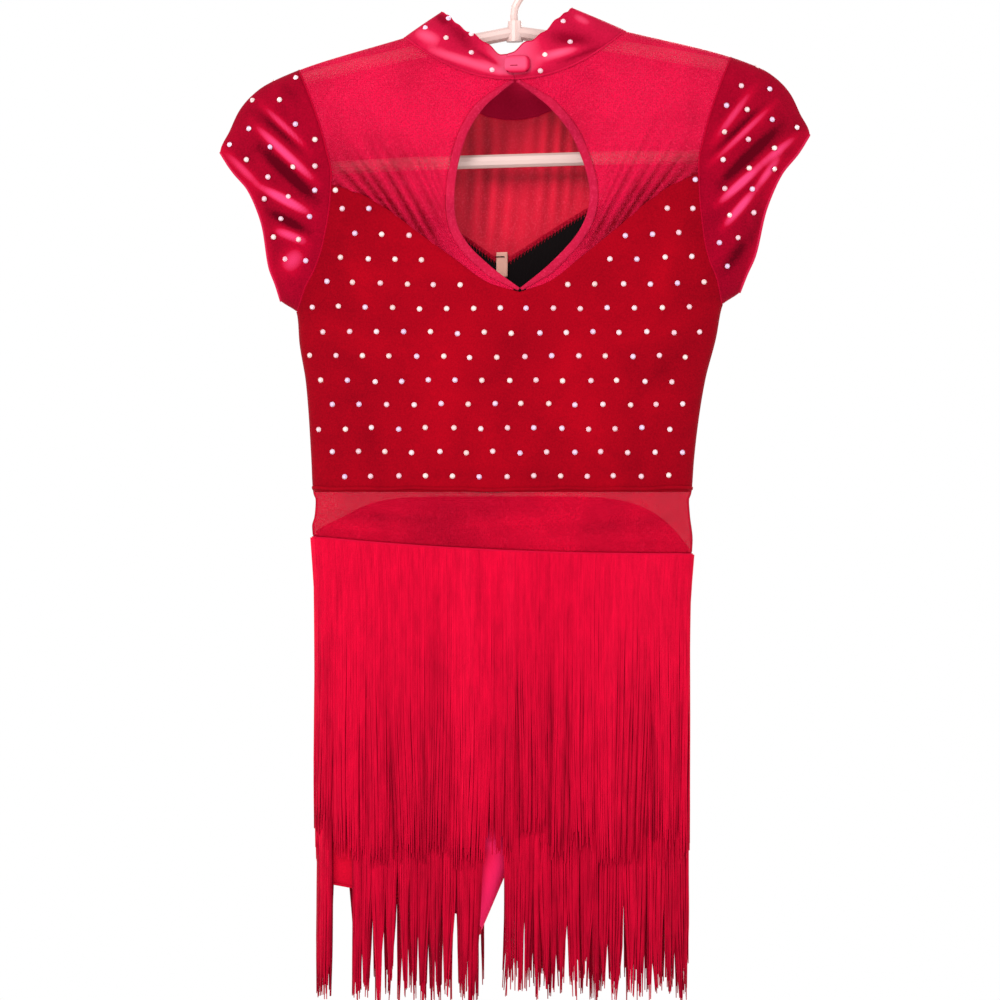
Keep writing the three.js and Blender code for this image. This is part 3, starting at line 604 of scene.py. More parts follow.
def spline(rows):
    """Point and direction at a share of the length of a smooth curve through rows."""
    knots = np.array(rows, float)
    knots = np.concatenate([2 * knots[:1] - knots[1:2], knots, 2 * knots[-1:] - knots[-2:-1]])
    fine = []
    for k in range(1, len(knots) - 2):
        a, b, c, d = knots[k - 1 : k + 3]
        t = np.linspace(0, 1, 40, endpoint=k == len(knots) - 3)[:, None]
        fine.append(
            0.5 * (2 * b + (c - a) * t + (2 * a - 5 * b + 4 * c - d) * t**2)
            + 0.5 * (3 * b - a - 3 * c + d) * t**3
        )
    fine = np.concatenate(fine)
    length = np.concatenate([[0], np.cumsum(np.linalg.norm(np.diff(fine, axis=0), axis=1))])
    length /= length[-1]
    heading = np.gradient(fine, axis=0)
    heading /= np.linalg.norm(heading, axis=1, keepdims=True)

    def at(share):
        share = np.asarray(share, float)
        both = [np.interp(share, length, line) for line in (*fine.T, *heading.T)]
        return np.stack(both[:2], -1), np.stack(both[2:], -1)

    return at


keyhole_edge = {name: spline(rows) for name, rows in KEYHOLE.items()}


def binding_width(share):
    widens_over, narrows_over = 0.16, 0.12
    fullness = np.minimum(1, np.minimum(share / widens_over, (1 - share) / narrows_over))
    return mix(BINDING_END, BINDING_WIDE, np.maximum(fullness, 0))


def off_keyhole(name, share, distance):
    at, heading = keyhole_edge[name](share)
    outward = -SIDES[name]
    distance = np.asarray(distance)[..., None]
    return at + outward * distance * np.stack([heading[..., 1], -heading[..., 0]], -1)


# Fine folds fan from the seam by the keyhole's foot, out and up to the armhole. Each path
# runs from the armhole's foot to the upper yoke, and from the V seam to the keyhole.
GATHER_PATHS = {
    "left": (
        [(-160, -212), (-157, -190), (-143, -172), (-120, -162), (-95, -164), (-74, -176)],
        [(-118, -241), (-96, -252), (-72, -265), (-54, -262), (-56, -244), (-57, -228)],
    ),
    "right": (
        [(160, -212), (157, -190), (143, -172), (124, -162), (102, -164), (84, -176)],
        [(122, -240), (102, -250), (84, -260), (66, -264), (69, -246), (71, -230)],
    ),
}
GATHERS = {"left": 21, "right": 20}


def gathers_of(name):
    draw = np.random.default_rng(GATHERS[name])
    outer, inner = (spline(rows) for rows in GATHER_PATHS[name])
    for k in range(GATHERS[name]):
        share = np.clip((k + draw.uniform(-0.35, 0.35)) / (GATHERS[name] - 1), 0, 1)
        wide, high = draw.uniform(1.2, 2.3), draw.uniform(0.5, 1.1)
        sign = 1 if k % 2 else -1
        yield (*outer(share)[0], *inner(share)[0], wide, sign * high)


# how far above the V seam the mesh is painted darker, partly for the doubled mesh of its crowded
# gathers and partly as painted shade, and how far across that begins
CROWDED = {"left": 40, "right": 27}
CROWDED_FROM, CROWDED_BY = 30, 80


def yoke_back_half(name, rows=70, cols=240):
    side = SIDES[name]
    seam_share, armhole_share = 10 / 27, 6 / 27
    around = np.linspace(0, 1, cols + 1)
    along_seam = np.clip(around / seam_share, 0, 1)
    up_armhole = np.clip((around - seam_share) / armhole_share, 0, 1)
    rest = np.clip((around - seam_share - armhole_share) / (1 - seam_share - armhole_share), 0, 1)
    foot_of_seam, foot_of_keyhole, top_of_keyhole = 0.035, 0.985, 0.01
    rim = v_seam_at("back", side * mix(foot_of_seam, 1, along_seam), V_SEAM_GAP)
    rise = mix(v_seam["back"](1.0), SLEEVE_SEAM_TOP, np.sin(up_armhole * np.pi / 2)) - SEAM / 2
    rim = np.where((around > seam_share)[:, None], armhole_at(side, rise), rim)
    top = shoulder_at(BACK, side, rest * 0.995)
    rim = np.where((around > seam_share + armhole_share)[:, None], top, rim)
    share = mix(foot_of_keyhole, top_of_keyhole, around**0.9)
    inner = off_keyhole(name, share, binding_width(share) - SEAM)
    outward = np.sin(np.linspace(0, 1, rows + 1) * np.pi / 2)[:, None, None]
    at = mix(inner[None], rim[None], outward)
    x, z = at[..., 0], at[..., 1]
    folds = crease_relief(x, z, gathers_of(name))
    above_seam = z - v_seam["back"](np.minimum(np.abs(x) / BACK_HALF, 1))
    crowded = np.exp(-((np.maximum(above_seam, 0) / CROWDED[name]) ** 2))
    crowded = crowded * ease(np.abs(x), CROWDED_FROM, CROWDED_BY)
    broad = crease_relief(x, z, YOKE_SLACK[name])
    # painted light: lighter on the folds' crests and the slack's ridges, darker in their troughs
    # and where the gathers crowd
    painted_light = 0.75 - 1.15 * crowded + 1.2 * folds * mix(0.4, 1, crowded) + 0.3 * broad
    grid = on_cloth(BACK, x, z, folds + broad)
    return panel(f"yoke_back_half_{name}", grid, MESH_THICK, yoke_mesh, face=BACK, painted_light=painted_light)


# (from x, z, to x, z, half width, height)
YOKE_SLACK = {
    "left": [(-150, -150, -96, -226, 9, 0.9), (-120, -118, -66, -208, 12, 0.8)],
    "right": [(150, -150, 104, -226, 9, 0.9), (122, -116, 84, -206, 12, 0.8)],
}
yoke_back = {}
for name in SIDES:
    yoke_back[name] = yoke_back_half(name)
    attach(yoke_back[name], "root")
    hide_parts(f"yoke_back_{name}")

FRONT_GATHERS, GATHERED_TO = 24, 0.62  # how many, and how far out from the middle


def yoke_front_panel(rows=44, cols=220):
    up, across = lattice(rows, cols)
    v = np.sin(up * np.pi / 2)
    low = v_seam_at("front", 2 * across - 1, V_SEAM_GAP)
    inward = 1 - np.abs(2 * across - 1)
    shoulders = (shoulder_at(FRONT, side, inward) for side in (LEFT, RIGHT))
    high = np.where((across < 0.5)[..., None], *shoulders)
    foot = v_seam["front"](1.0) + V_SEAM_GAP
    edge_z = mix(foot, SLEEVE_SEAM_TOP - SEAM / 2, v)
    left, right = armhole_at(LEFT, edge_z), armhole_at(RIGHT, edge_z)
    v, u = v[..., None], across[..., None]
    ruled = mix(low, high, v) + mix(left, right, u)
    corners = mix(mix(low[:, :1], low[:, -1:], u), mix(high[:, :1], high[:, -1:], u), v)
    at = ruled - corners
    from_middle = np.minimum(1, np.abs(2 * across - 1) / GATHERED_TO)
    fade = np.cos(from_middle * np.pi / 2) * np.sin(np.pi * up) ** 0.6
    # an uneven spacing and depth keep the gathers from looking combed
    phase = FRONT_GATHERS * 2 * np.pi * across + 2.1 * np.sin(9 * across) + 1.2 * up
    swing = np.sin(phase) * (0.75 + 0.45 * np.sin(31 * across + 2 * up))
    grid = on_cloth(FRONT, at[..., 0], at[..., 1], 1.3 * fade * swing)
    # painted light: lighter and darker by turns across the gathers
    painted_light = 0.3 - 0.8 * fade * swing
    return panel("yoke_front_panel", grid, MESH_THICK, front_mesh, face=FRONT, painted_light=painted_light)


yoke_front = yoke_front_panel()
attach(yoke_front, "root")
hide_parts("yoke_front")

binding_mesh = mesh_of_knit("folded_mesh", "#ae1636", "#680820", "#ba2a4c", 0.04)
BINDING_THICK, BEAD, PUCKER, PUCKERS = 1.9, 0.5, 0.18, 190 / (2 * math.pi)
binding = {}
for name in SIDES:
    share, out = lattice(80, 6)
    reach = out * binding_width(share)
    at = off_keyhole(name, np.broadcast_to(share, reach.shape), reach)
    relief = BEAD * np.sin(np.pi * out) + PUCKER * np.sin(share * PUCKERS * 2 * math.pi) * out
    grid = on_cloth(BACK, at[..., 0], at[..., 1], relief)
    binding[name] = panel(f"keyhole_edge_{name}", grid, BINDING_THICK, binding_mesh)
    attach(binding[name], "root")
    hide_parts(f"keyhole_binding_{name}")


# ---- Front lining and stay tab ----
# A black knit lining inside the front bodice, seen through the keyhole, and a short
# nude ribbon sewn inside the V point that keeps it from stretching.
LINING_THICK = 0.9
LINING_INSET = CLOTH / 2 + SEAM + 0.5
LINING_REACH = 0.84  # of the way to the side seams
LINING_TOP, LINING_FOOT = 0.006, 0.34  # of the way from V seam to hem


def plain_knit(name, light, dark, rib, rough, gloss):
    """Fine rib knit: narrow upright ribs, matt, with a soft change of tone."""
    material, tree = empty_material(name)
    cut = add(tree, "ShaderNodeUVMap", uv_map="cut")
    # a wave is 0.31 m long over the texture's scale, so that there is one to a rib
    ribs = add(tree, "ShaderNodeTexWave", Vector=cut, Scale=1 / (rib * math.pi), Distortion=0.4)
    tone = add(
        tree, "ShaderNodeMix", {0: ribs.outputs[1], 6: linear(dark), 7: linear(light)},
        data_type="RGBA",
    )
    bump = add(tree, "ShaderNodeBump", Height=ribs.outputs[1], Strength=0.35, Distance=0.0004)
    skin = add(
        tree, "ShaderNodeBsdfPrincipled", Base_Color=tone.outputs[2], Roughness=rough,
        Normal=bump, Specular_IOR_Level=gloss,
    )
    add(tree, "ShaderNodeOutputMaterial", Surface=skin)
    return material


black_knit = plain_knit("black_rib_knit", "#0c0406", "#040202", 0.0012, 0.9, 0.1)
down, across = lattice(30, 90)
reach = (2 * across - 1) * LINING_REACH
x, z = bodice_at("front", reach, mix(LINING_TOP, LINING_FOOT, down))
lining = panel(
    "front_lining_panel", on_cloth(FRONT, x, z), LINING_THICK, black_knit, offset=LINING_INSET
)
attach(lining, "root")
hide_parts("front_lining")

# The seam allowance of the front V seam shows above the lining, closed with a zigzag.
ALLOWANCE = {"tall": 8.5, "below": 1.5, "thick": 0.8, "rows": 6, "cols": 200}
ZIGZAG = {"radius": 0.32, "proud": 0.6, "reach": 2}  # in rows from the middle one
down, across = lattice(ALLOWANCE["rows"], ALLOWANCE["cols"])
x, z = v_seam_at("front", (2 * across[0] - 1) * LINING_REACH, 0).T
z = z - ALLOWANCE["below"] + ALLOWANCE["tall"] * (0.5 - down)
turned_in = on_cloth(FRONT, x, z) - (0, LINING_INSET, 0)
allowance = panel("v_seam_allowance", turned_in, ALLOWANCE["thick"], front_mesh, painted_light=-1.4)
crossings = np.arange(ALLOWANCE["cols"] + 1)
zigzag_rows = ALLOWANCE["rows"] // 2 + ZIGZAG["reach"] * ((crossings % 2) * 2 - 1)
zigzag_path = turned_in[zigzag_rows, crossings] - (0, ZIGZAG["proud"], 0)
zigzag = roll("v_seam_zigzag", zigzag_path, ZIGZAG["radius"], front_mesh, sides=5, painted_light=-0.4)
for piece in (allowance, zigzag):
    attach(piece, "root")

ribbon = plain_knit("nude_twill_ribbon", "#cf9a8a", "#a87668", 0.0009, 0.7, 0.3)
TAB_SEAM = 0.5  # the roll's radius


def box_middle(box):
    """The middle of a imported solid's box, in millimetres."""
    return [(low + high) / 2 / MM for low, high in zip(*box)]


TAB = {"wide": 9.5, "tall": 22, "thick": 1.1, "seam_up": 7.2, "seam_half": 4.4}
tab_middle = box_middle(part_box("lining_tab"))
seam_x = np.linspace(-TAB["seam_half"], TAB["seam_half"], 9)
tab_seam_path = np.array([(x, -0.7, TAB["seam_up"]) for x in seam_x]) + tab_middle
down, across = lattice(16, 8)
tab_z = TAB["tall"] * (0.5 - down)
tab_x = TAB["wide"] * (across - 0.5) * (1 + 0.06 * np.sin(3 * down))
tab_y = 0.35 * np.sin(5 * down) * np.ones_like(across)
grid = np.stack(np.broadcast_arrays(tab_x, tab_y, tab_z), -1)
tab = panel("stay_tab", grid, TAB["thick"], ribbon)
for vertex in tab.data.vertices:
    vertex.co += Vector(c * MM for c in tab_middle)
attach(tab, "root")
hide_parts("lining_tab")
tab_seam = roll("stay_tab_seam", tab_seam_path, TAB_SEAM, black_knit, sides=6)
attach(tab_seam, "root")


# ---- Cap sleeves ----
# Velvet caps set into the armholes, drawn up along the armhole seam so that soft folds
# run from the underarm towards the shoulder. Their cuffs are open.
SLEEVE_TIP_LEVEL, SLEEVE_FOOT = -172.3, (200, -306.2)
sleeve_hem_half = through(
    (-172.3, 258), (-187.9, 248), (-205.3, 233.6), (-222.7, 225), (-240.1, 219), (-274.9, 212),
    (-292.3, 205), (-306.2, 200.2),
)
SLEEVE_PUFF, ARMHOLE_SEAM, SLEEVE_HEM = 3, 0.9, 1.3
# (from x, z, to x, z, half width, height) for a right sleeve, the left's x is mirrored
SLEEVE_CREASES = {
    ("left", BACK): [
        (224, -129, 179, -175, 3.4, 2.6),
        (221, -141, 186, -173, 3.2, -1.5),
        (230, -147, 171, -204, 3.6, 2.8),
        (222, -170, 172, -218, 4.5, -2.0),
        (256, -168, 222, -204, 3.5, 2.4),
        (224, -203, 175, -231, 3.6, 2.6),
        (214, -226, 178, -246, 3.5, -1.6),
        (210, -242, 178, -255, 4, 2.0),
        (200, -280, 182, -262, 10, 1.8),
        (206, -112, 190, -130, 4, -1.0),
    ],
    ("right", BACK): [
        (210, -128, 172, -178, 3.6, 2.6),
        (216, -146, 172, -189, 3.2, -1.6),
        (228, -143, 168, -198, 3.2, 2.2),
        (232, -164, 178, -214, 4.5, -2.0),
        (249, -171, 214, -198, 3.6, 2.6),
        (216, -197, 176, -232, 3.6, 2.6),
        (232, -190, 210, -219, 3.4, 2.4),
        (210, -219, 182, -252, 3.6, 2.4),
        (222, -226, 212, -266, 6, -1.2),
        (204, -262, 184, -290, 5, -1.2),
    ],
}
SLEEVE_CREASES["right", FRONT] = [
    (x0 - 3, z0 - 7, x1 + 3, z1 + 4, wide, 0.9 * high)
    for x0, z0, x1, z1, wide, high in SLEEVE_CREASES["left", BACK]
]
SLEEVE_CREASES["left", FRONT] = [
    (x0 + 2, z0 - 5, x1 - 2, z1 - 8, wide, 0.9 * high)
    for x0, z0, x1, z1, wide, high in SLEEVE_CREASES["right", BACK]
]


def sleeve_at(v, a):
    """(x, z) of a right sleeve: v from armhole to hem, a from the ridge to the underarm."""
    top = SLEEVE_SEAM_TOP + SEAM / 2
    gap, foot_z = -0.6, UNDERARM_LEVEL + 1.2
    hole_z = mix(top, foot_z, a)
    hole = np.stack([armhole_half(hole_z) + gap, hole_z], -1)
    hem_z = mix(SLEEVE_TIP_LEVEL, SLEEVE_FOOT[1], a)
    hem = np.stack([sleeve_hem_half(hem_z), hem_z], -1)
    ridge_z = mix(top, SLEEVE_TIP_LEVEL, v)
    ridge = np.stack([outline_half(ridge_z) - CLOTH / 2, ridge_z], -1)
    hole_foot = np.array([armhole_half(foot_z) + gap, foot_z])
    v, a = v[..., None], a[..., None]
    under = mix(hole_foot, np.array(SLEEVE_FOOT), v)
    hole_top = np.array([armhole_half(top) + gap, top])
    hem_top = np.array([sleeve_hem_half(SLEEVE_TIP_LEVEL), SLEEVE_TIP_LEVEL])
    tops = mix(hole_top, hem_top, v)
    return mix(hole, hem, v) + mix(ridge, under, a) - mix(tops, under, a)


def sleeve_fade(v, a):
    """Folds run out towards the seams."""
    v, a = np.clip(v, 0.002, 0.998), np.clip(a, 0.002, 0.998)
    return np.sin(np.pi * v) ** 0.35 * np.sin(np.pi * a) ** 0.5


def sleeve_puff(v, a):
    return SLEEVE_PUFF * np.sin(np.pi * v) * np.sin(np.pi * a)


def sleeve_grid(name, rows=54, cols=216):
    side = SIDES[name]
    v, around = lattice(rows, cols)
    angle = np.pi * (2 * around - 1)
    a = (1 - np.cos(angle)) / 2
    at = sleeve_at(v, np.broadcast_to(a, (rows + 1, cols + 1)))
    x, z = at[..., 0], at[..., 1]
    both = (crease_relief(x, z, SLEEVE_CREASES[name, face]) for face in (BACK, FRONT))
    folds = sleeve_fade(v, a) * np.where(angle < 0, *both)
    depth = np.maximum(SEAM / 2, lens_depth(x, z) + sleeve_puff(v, a) + folds)
    y = np.where(np.abs(angle) < 1e-6, 0, np.sign(angle) * depth)
    grid = np.stack(np.broadcast_arrays(side * x, y, z), -1)
    # painted light: lighter on the folds' crests, painted shade in their troughs, and a painted
    # highlight along the hem
    return grid, 1.05 * folds - 0.1 + 0.7 * ease(v, 0.82, 1)


sleeve_velvet = velvet_of("stretch_velvet_sleeves", "#940320", "#42010b", "#b4305a", 0.12)
sleeves = {}
for name in SIDES:
    grid, painted_light = sleeve_grid(name)
    sleeves[name] = panel(f"cap_sleeve_{name}", grid, VELVET_THICK, sleeve_velvet, painted_light=painted_light)
    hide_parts(f"sleeve_{name}")
    seam = roll(f"armhole_seam_{name}", grid[0], ARMHOLE_SEAM, sleeve_velvet, painted_light=0.4)
    hem = roll(f"sleeve_hem_{name}", grid[-1], SLEEVE_HEM, sleeve_velvet, painted_light=0.9)
    for piece in (sleeves[name], seam, hem):
        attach(piece, "root")


# ---- Collar ----
# A stand collar of velvet, one strip round the neck, whose ends meet at the centre back
# under a small velvet flap. The limp strip caves in a little between its folds.
COLLAR = {"half": 57, "shift": -7, "side": -55.5, "depth": 17, "roundness": 1.25, "bulge": 2}
collar_low = {BACK: -96.6, FRONT: -106.1}
COLLAR_OPENING, COLLAR_ROLL, FLAP_STITCH = 0.15, 1.0, 0.45
NECK_SEAM_OUT = (1.005, 1.03, 1)  # times the collar's foot, so that it lies just outside
# (from x, z, to x, z, half width, height), on the back
COLLAR_CREASES = [
    (-80, -88, -14, -112, 4.5, 1.5), (-58, -66, -34, -94, 6, -1.1), (-69, -58, -58, -67, 4, -1.4),
    (-88, -72, -64, -84, 6, 1.6), (-34, -92, -14, -106, 2.2, -1.4), (22, -101, 60, -91, 4, 1.8),
    (28, -80, 68, -89, 7, -1.6), (50, -62, 66, -72, 4, 1.2), (38, -106, 78, -91, 2.4, -1.2),
]


def collar_grid(rows=30, cols=300):
    up, around = lattice(rows, cols)
    bare = COLLAR_OPENING / (math.pi * NECK_POINT[0])
    angle = np.pi * (-0.5 + mix(bare, 2 - bare, around))
    across, out = np.cos(angle), np.abs(np.sin(angle))
    back = np.sin(angle) < 0
    top_low = np.where(back, collar_low[BACK], collar_low[FRONT])
    base_x = NECK_POINT[0] * across
    base_z = np.where(back, neck_height(BACK, base_x), neck_height(FRONT, base_x)) + SEAM / 2
    top_x = COLLAR["half"] * across + COLLAR["shift"]
    top_z = mix(top_low, COLLAR["side"], np.abs(across) ** COLLAR["roundness"])
    limp = (1.5 * np.sin(9 * angle + 1) + 1.1 * np.sin(23 * angle)) * out
    x, z = mix(base_x, top_x, up), mix(base_z, top_z + limp, up)
    folds = np.where(back, crease_relief(x, z, COLLAR_CREASES), 0.35 * limp * up)
    soft = COLLAR["bulge"] * np.sin(np.pi * up) + folds * out * ease(up, 0, 0.2)
    depth = mix(lens_depth(base_x, base_z), COLLAR["depth"] * out, up) + soft
    y = np.where(out < 1e-6, 0, np.where(back, -1, 1) * depth)
    # a painted highlight on the strip round the flap, where the flap closes it
    painted_highlight_by_flap = 1.5 * np.exp(-(((x + 2) / 24) ** 2)) * ease(up, 0, 0.3) * back
    # painted light: the folds lighter on their crests and darker in their hollows, and the
    # highlight round the flap
    return np.stack(np.broadcast_arrays(x, y, z), -1), 0.85 * folds + 0.15 + painted_highlight_by_flap


collar_velvet = velvet_of("stretch_velvet_collar", "#a81033", "#6a0218", "#b84664", 0.2)
grid, painted_light = collar_grid()
collar = panel("stand_collar", grid, 1.5, collar_velvet, painted_light=painted_light)
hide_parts("collar")
neck_seam = roll("neck_seam", grid[0] * NECK_SEAM_OUT, COLLAR_ROLL, collar_velvet, painted_light=0.5)
collar_fold = roll("collar_fold", grid[-1], COLLAR_ROLL, collar_velvet, painted_light=0.3)
for piece in (collar, neck_seam, collar_fold):
    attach(piece, "root")

flap_middle = box_middle(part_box("collar_tab"))
FLAP = {"wide": 22, "tall": 17, "corner": 4.8, "thick": 1.3, "tilt": math.radians(67)}
FLAP_CUPPED, FLAP_SUNK = 1.2, 0.3
down, across = lattice(14, 18)
flap_v, flap_u = 1 - 2 * down, 2 * across - 1
pull_in = 1 - FLAP["corner"] / FLAP["wide"] * np.abs(flap_u * flap_v) ** 3
lean_back = math.cos(FLAP["tilt"])
flap_x = flap_middle[0] + flap_u * pull_in * FLAP["wide"] / 2
flap_z = flap_middle[2] + flap_v * pull_in * FLAP["tall"] / 2 * math.sin(FLAP["tilt"])
flap_y = flap_middle[1] + flap_v * FLAP["tall"] / 2 * lean_back
flap_y = flap_y + FLAP_CUPPED * flap_u**2 - FLAP_SUNK
grid = np.stack(np.broadcast_arrays(flap_x, flap_y, flap_z), -1)
# painted light: lighter in the middle, with painted shade along the right edge, the top and the
# foot
flap_painted_light = 1.7 - 0.9 * flap_v**4 - 1.6 * ease(flap_u, 0.55, 1) - 0.6 * ease(-flap_v, 0.2, 1)
flap = panel("collar_flap", grid, FLAP["thick"], collar_velvet, painted_light=flap_painted_light)
stitch_path = grid[8, 4:10] + (0, -FLAP["thick"] / 2, 0)
flap_stitch = roll("flap_hook_stitch", stitch_path, FLAP_STITCH, collar_velvet, painted_light=-1.5)
for piece in (flap, flap_stitch):
    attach(piece, "root")
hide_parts("collar_tab")


# ---- Midriff ----
# A band of the same sheer mesh between bodice and shorts, a little slack, with shallow
# cross folds. The front's shorts rise in an arch behind it.
SHORTS_TOP_BACK = -529.8
SHORTS_ARCH, ARCH_ROUNDNESS = -481.5, 6.0
LEG_HEM, ARCH_SEAM = 1.2, 0.9  # a roll's radius
# (from x, z, to x, z, half width, height)
MIDRIFF_CREASES = {
    BACK: [
        (-158, -497, -60, -503, 5, -1.4),
        (-40, -508, 70, -500, 5, 1.1),
        (60, -512, 156, -499, 5, -1.4),
        (-150, -514, -84, -521, 4, 1.1),
        (96, -520, 150, -514, 4, 1.0),
        (-30, -490, -10, -524, 6, 0.9),
        (34, -486, 52, -526, 7, -0.8),
        (-110, -486, -100, -524, 6, -0.8),
        (118, -486, 110, -526, 6, 0.8),
    ],
    FRONT: [(-150, -500, -112, -514, 5, -1.2), (112, -512, 152, -500, 5, -1.2)],
}


def shorts_top(face, across):
    if face == BACK:
        return np.full_like(across, SHORTS_TOP_BACK)
    return mix(SHORTS_ARCH, SHORTS_TOP_BACK, np.abs(across) ** ARCH_ROUNDNESS)


def midriff_grid(face, rows=22, cols=120):
    down, u = lattice(rows, cols)
    across = np.sin((u - 0.5) * np.pi)
    z = mix(BODICE_HEM + 2.5, shorts_top(face, across) - 0.6, down)
    x = across * (outline_half(z) - CLOTH / 2)
    relief = crease_relief(x, z, MIDRIFF_CREASES[face]) * np.sin(np.pi * down) ** 0.5
    # painted light: darker left of the middle and lighter right of it, as the front shows through,
    # and painted shade in the creases
    painted_show_through = np.exp(-(((x + 52) / 50) ** 2)) - 0.9 * np.exp(-(((x - 48) / 42) ** 2))
    painted_light = 0.4 * relief - 0.5 * painted_show_through
    return on_cloth(face, x, z, relief * fade_at_sides(across)), painted_light


midriff = {}
for name, face in FACES.items():
    grid, painted_light = midriff_grid(face)
    midriff[name] = panel(
        f"midriff_{name}_panel", grid, MESH_THICK, midriff_mesh, face=face, painted_light=painted_light
    )
    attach(midriff[name], "root")
    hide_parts(f"midriff_{name}")


# ---- Shorts ----
# Two velvet legs, each one piece from centre back round the outside to centre front,
# joined at the centre seams and closed at the inseam. The fringe hangs over them.
CROTCH = (11, -792.6)
shorts_half = through(
    (-481, 162.6), (-500, 163.4), (-529.8, 165.2), (-570, 162), (-657.7, 160.3), (-792.6, 159.5),
    (-860, 155),
)
LEGS = {
    "left": {"side": LEFT, "inner_at_hem": -19, "hem_outer": -816.9, "hem_inner": -863},
    "right": {"side": RIGHT, "inner_at_hem": 17, "hem_outer": -794, "hem_inner": -851},
}
SEAT_CLOSING, SEAM_FROM, INSEAM_GAP = 34, -560, 0.8
ARCH_SEAM_FROM = 39  # the first column of a leg that is on its front
# where a leg gets a painted pink highlight: shares of the turn from outside to inside, and depths
INNER_LEG, BELOW_SEAT = (0.62, 0.9), (750, 790)


def leg_grid(leg, rows=84, cols=72):
    side = leg["side"]
    down, around = lattice(rows, cols)
    turn = 2 * around - 1
    to_outer = np.cos(turn * np.pi / 2)
    across = np.sin((1 - np.abs(turn)) * np.pi / 2)
    top = np.where(turn < 0, SHORTS_TOP_BACK, shorts_top(FRONT, across)) - SEAM / 2
    z = mix(top, mix(leg["hem_inner"], leg["hem_outer"], to_outer), down)
    closing = 1 - ease(z, CROTCH[1], CROTCH[1] + SEAT_CLOSING)
    in_angle = np.pi / 2 * (1 + closing)
    angle = in_angle * np.abs(turn)
    seam = CROTCH[0] * (1 - ease(z, CROTCH[1], SEAM_FROM))
    below = np.maximum(0, (CROTCH[1] - z) / (CROTCH[1] - leg["hem_inner"]))
    inner = mix(seam, leg["inner_at_hem"], below)
    outer = side * (shorts_half(z) - CLOTH / 2)
    start = inner + side * (closing * (INSEAM_GAP + SEAM) - SEAM / 2)
    x = mix(start, outer, (np.cos(angle) - np.cos(in_angle)) / (1 - np.cos(in_angle)))
    from_outer = (outer - x) / (outer - start)
    hollow = mix(1, np.sqrt(np.maximum(0, 1 - from_outer**12)), closing)
    depth = depth_half(z) * np.sqrt(np.maximum(0, 1 - (x / outer) ** 2)) * hollow
    drag = 0.7 * np.sin(x / 13 + z / 60) * np.sin(np.pi * np.abs(turn)) * down
    y = np.where(turn < 0, BACK, FRONT) * np.maximum(SEAM / 2, depth + drag * (depth > 4))
    y = np.where(np.abs(turn) < 1e-6, 0, y)
    inside = ease(np.abs(turn), *INNER_LEG) * ease(-z, *BELOW_SEAT)
    # painted light: a painted pink highlight on the inner leg, and lighter and darker with the
    # drag folds
    return np.stack([x, y, z], -1), 0.35 + 1.3 * inside + 0.25 * drag


leg_velvet = velvet_of("stretch_velvet_shorts", "#aa0621", "#5e020f", "#f02868", 0.2)
shorts = {}
for name, leg in LEGS.items():
    grid, painted_light = leg_grid(leg)
    shorts[name] = panel(f"shorts_leg_{name}", grid, VELVET_THICK, leg_velvet, painted_light=painted_light)
    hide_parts(f"shorts_{name}")
    leg_hem = roll(f"leg_hem_{name}", grid[-1], LEG_HEM, leg_velvet, painted_light=0.4)
    arch_path = grid[0, ARCH_SEAM_FROM:] + (0, 0, SEAM / 2 + 0.2)
    arch_seam = roll(f"arch_seam_{name}", arch_path, ARCH_SEAM, leg_velvet, painted_light=-0.3)
    for piece in (shorts[name], leg_hem, arch_seam):
        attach(piece, "root")


# ---- Fringe ----
# Two tiers of chainette fringe: chain-knitted rayon cords, 254 mm long, looped side by side
# from a narrow header tape. The cords cling together in locks towards their tips.
DROP = 254
HEADER = {"tall": 9, "thick": 1.4}
HEADER_MIDDLE = CLOTH / 2 + SEAM + HEADER["thick"] / 2  # out from the lens


def round_shorts(face, angle, z, out):
    """A point outside the shorts' wall: angle 0 is the right side, half a turn the left."""
    level = np.maximum(z, CROTCH[1])
    half, depth = shorts_half(level) - CLOTH / 2, depth_half(level)
    normal = np.stack([np.cos(angle) * depth, np.sin(angle) * half], -1)
    normal /= np.linalg.norm(normal, axis=-1, keepdims=True)
    x = half * np.cos(angle) + normal[..., 0] * out
    y = depth * np.sin(angle) + normal[..., 1] * out
    return np.stack([x, face * np.maximum(y, SEAM / 2), z], -1)


def along_ring(z, out):
    """Turns a share of half the ring's length into an angle, and an x into that share."""
    angle = np.linspace(0, np.pi, 801)
    ring = round_shorts(FRONT, angle, np.full_like(angle, z), out)
    length = np.concatenate([[0], np.cumsum(np.linalg.norm(np.diff(ring, axis=0), axis=1))])
    length /= length[-1]
    return (
        lambda share: np.interp(share, length, angle),
        lambda x: np.interp(-np.asarray(x, float), -ring[:, 0], length),
    )


def node_group(name, inputs, output):
    """A Geometry Nodes tree, its group input's sockets, and its inputs' identifiers."""
    tree = bpy.data.node_groups.new(name, "GeometryNodeTree")
    made = {}
    for key, kind in inputs.items():
        socket_type = f"NodeSocket{kind}"
        made[key] = tree.interface.new_socket(name=key, in_out="INPUT", socket_type=socket_type)
    tree.interface.new_socket(name=output, in_out="OUTPUT", socket_type="NodeSocketGeometry")
    given = add(tree, "NodeGroupInput").outputs
    return tree, given, {key: socket.identifier for key, socket in made.items()}


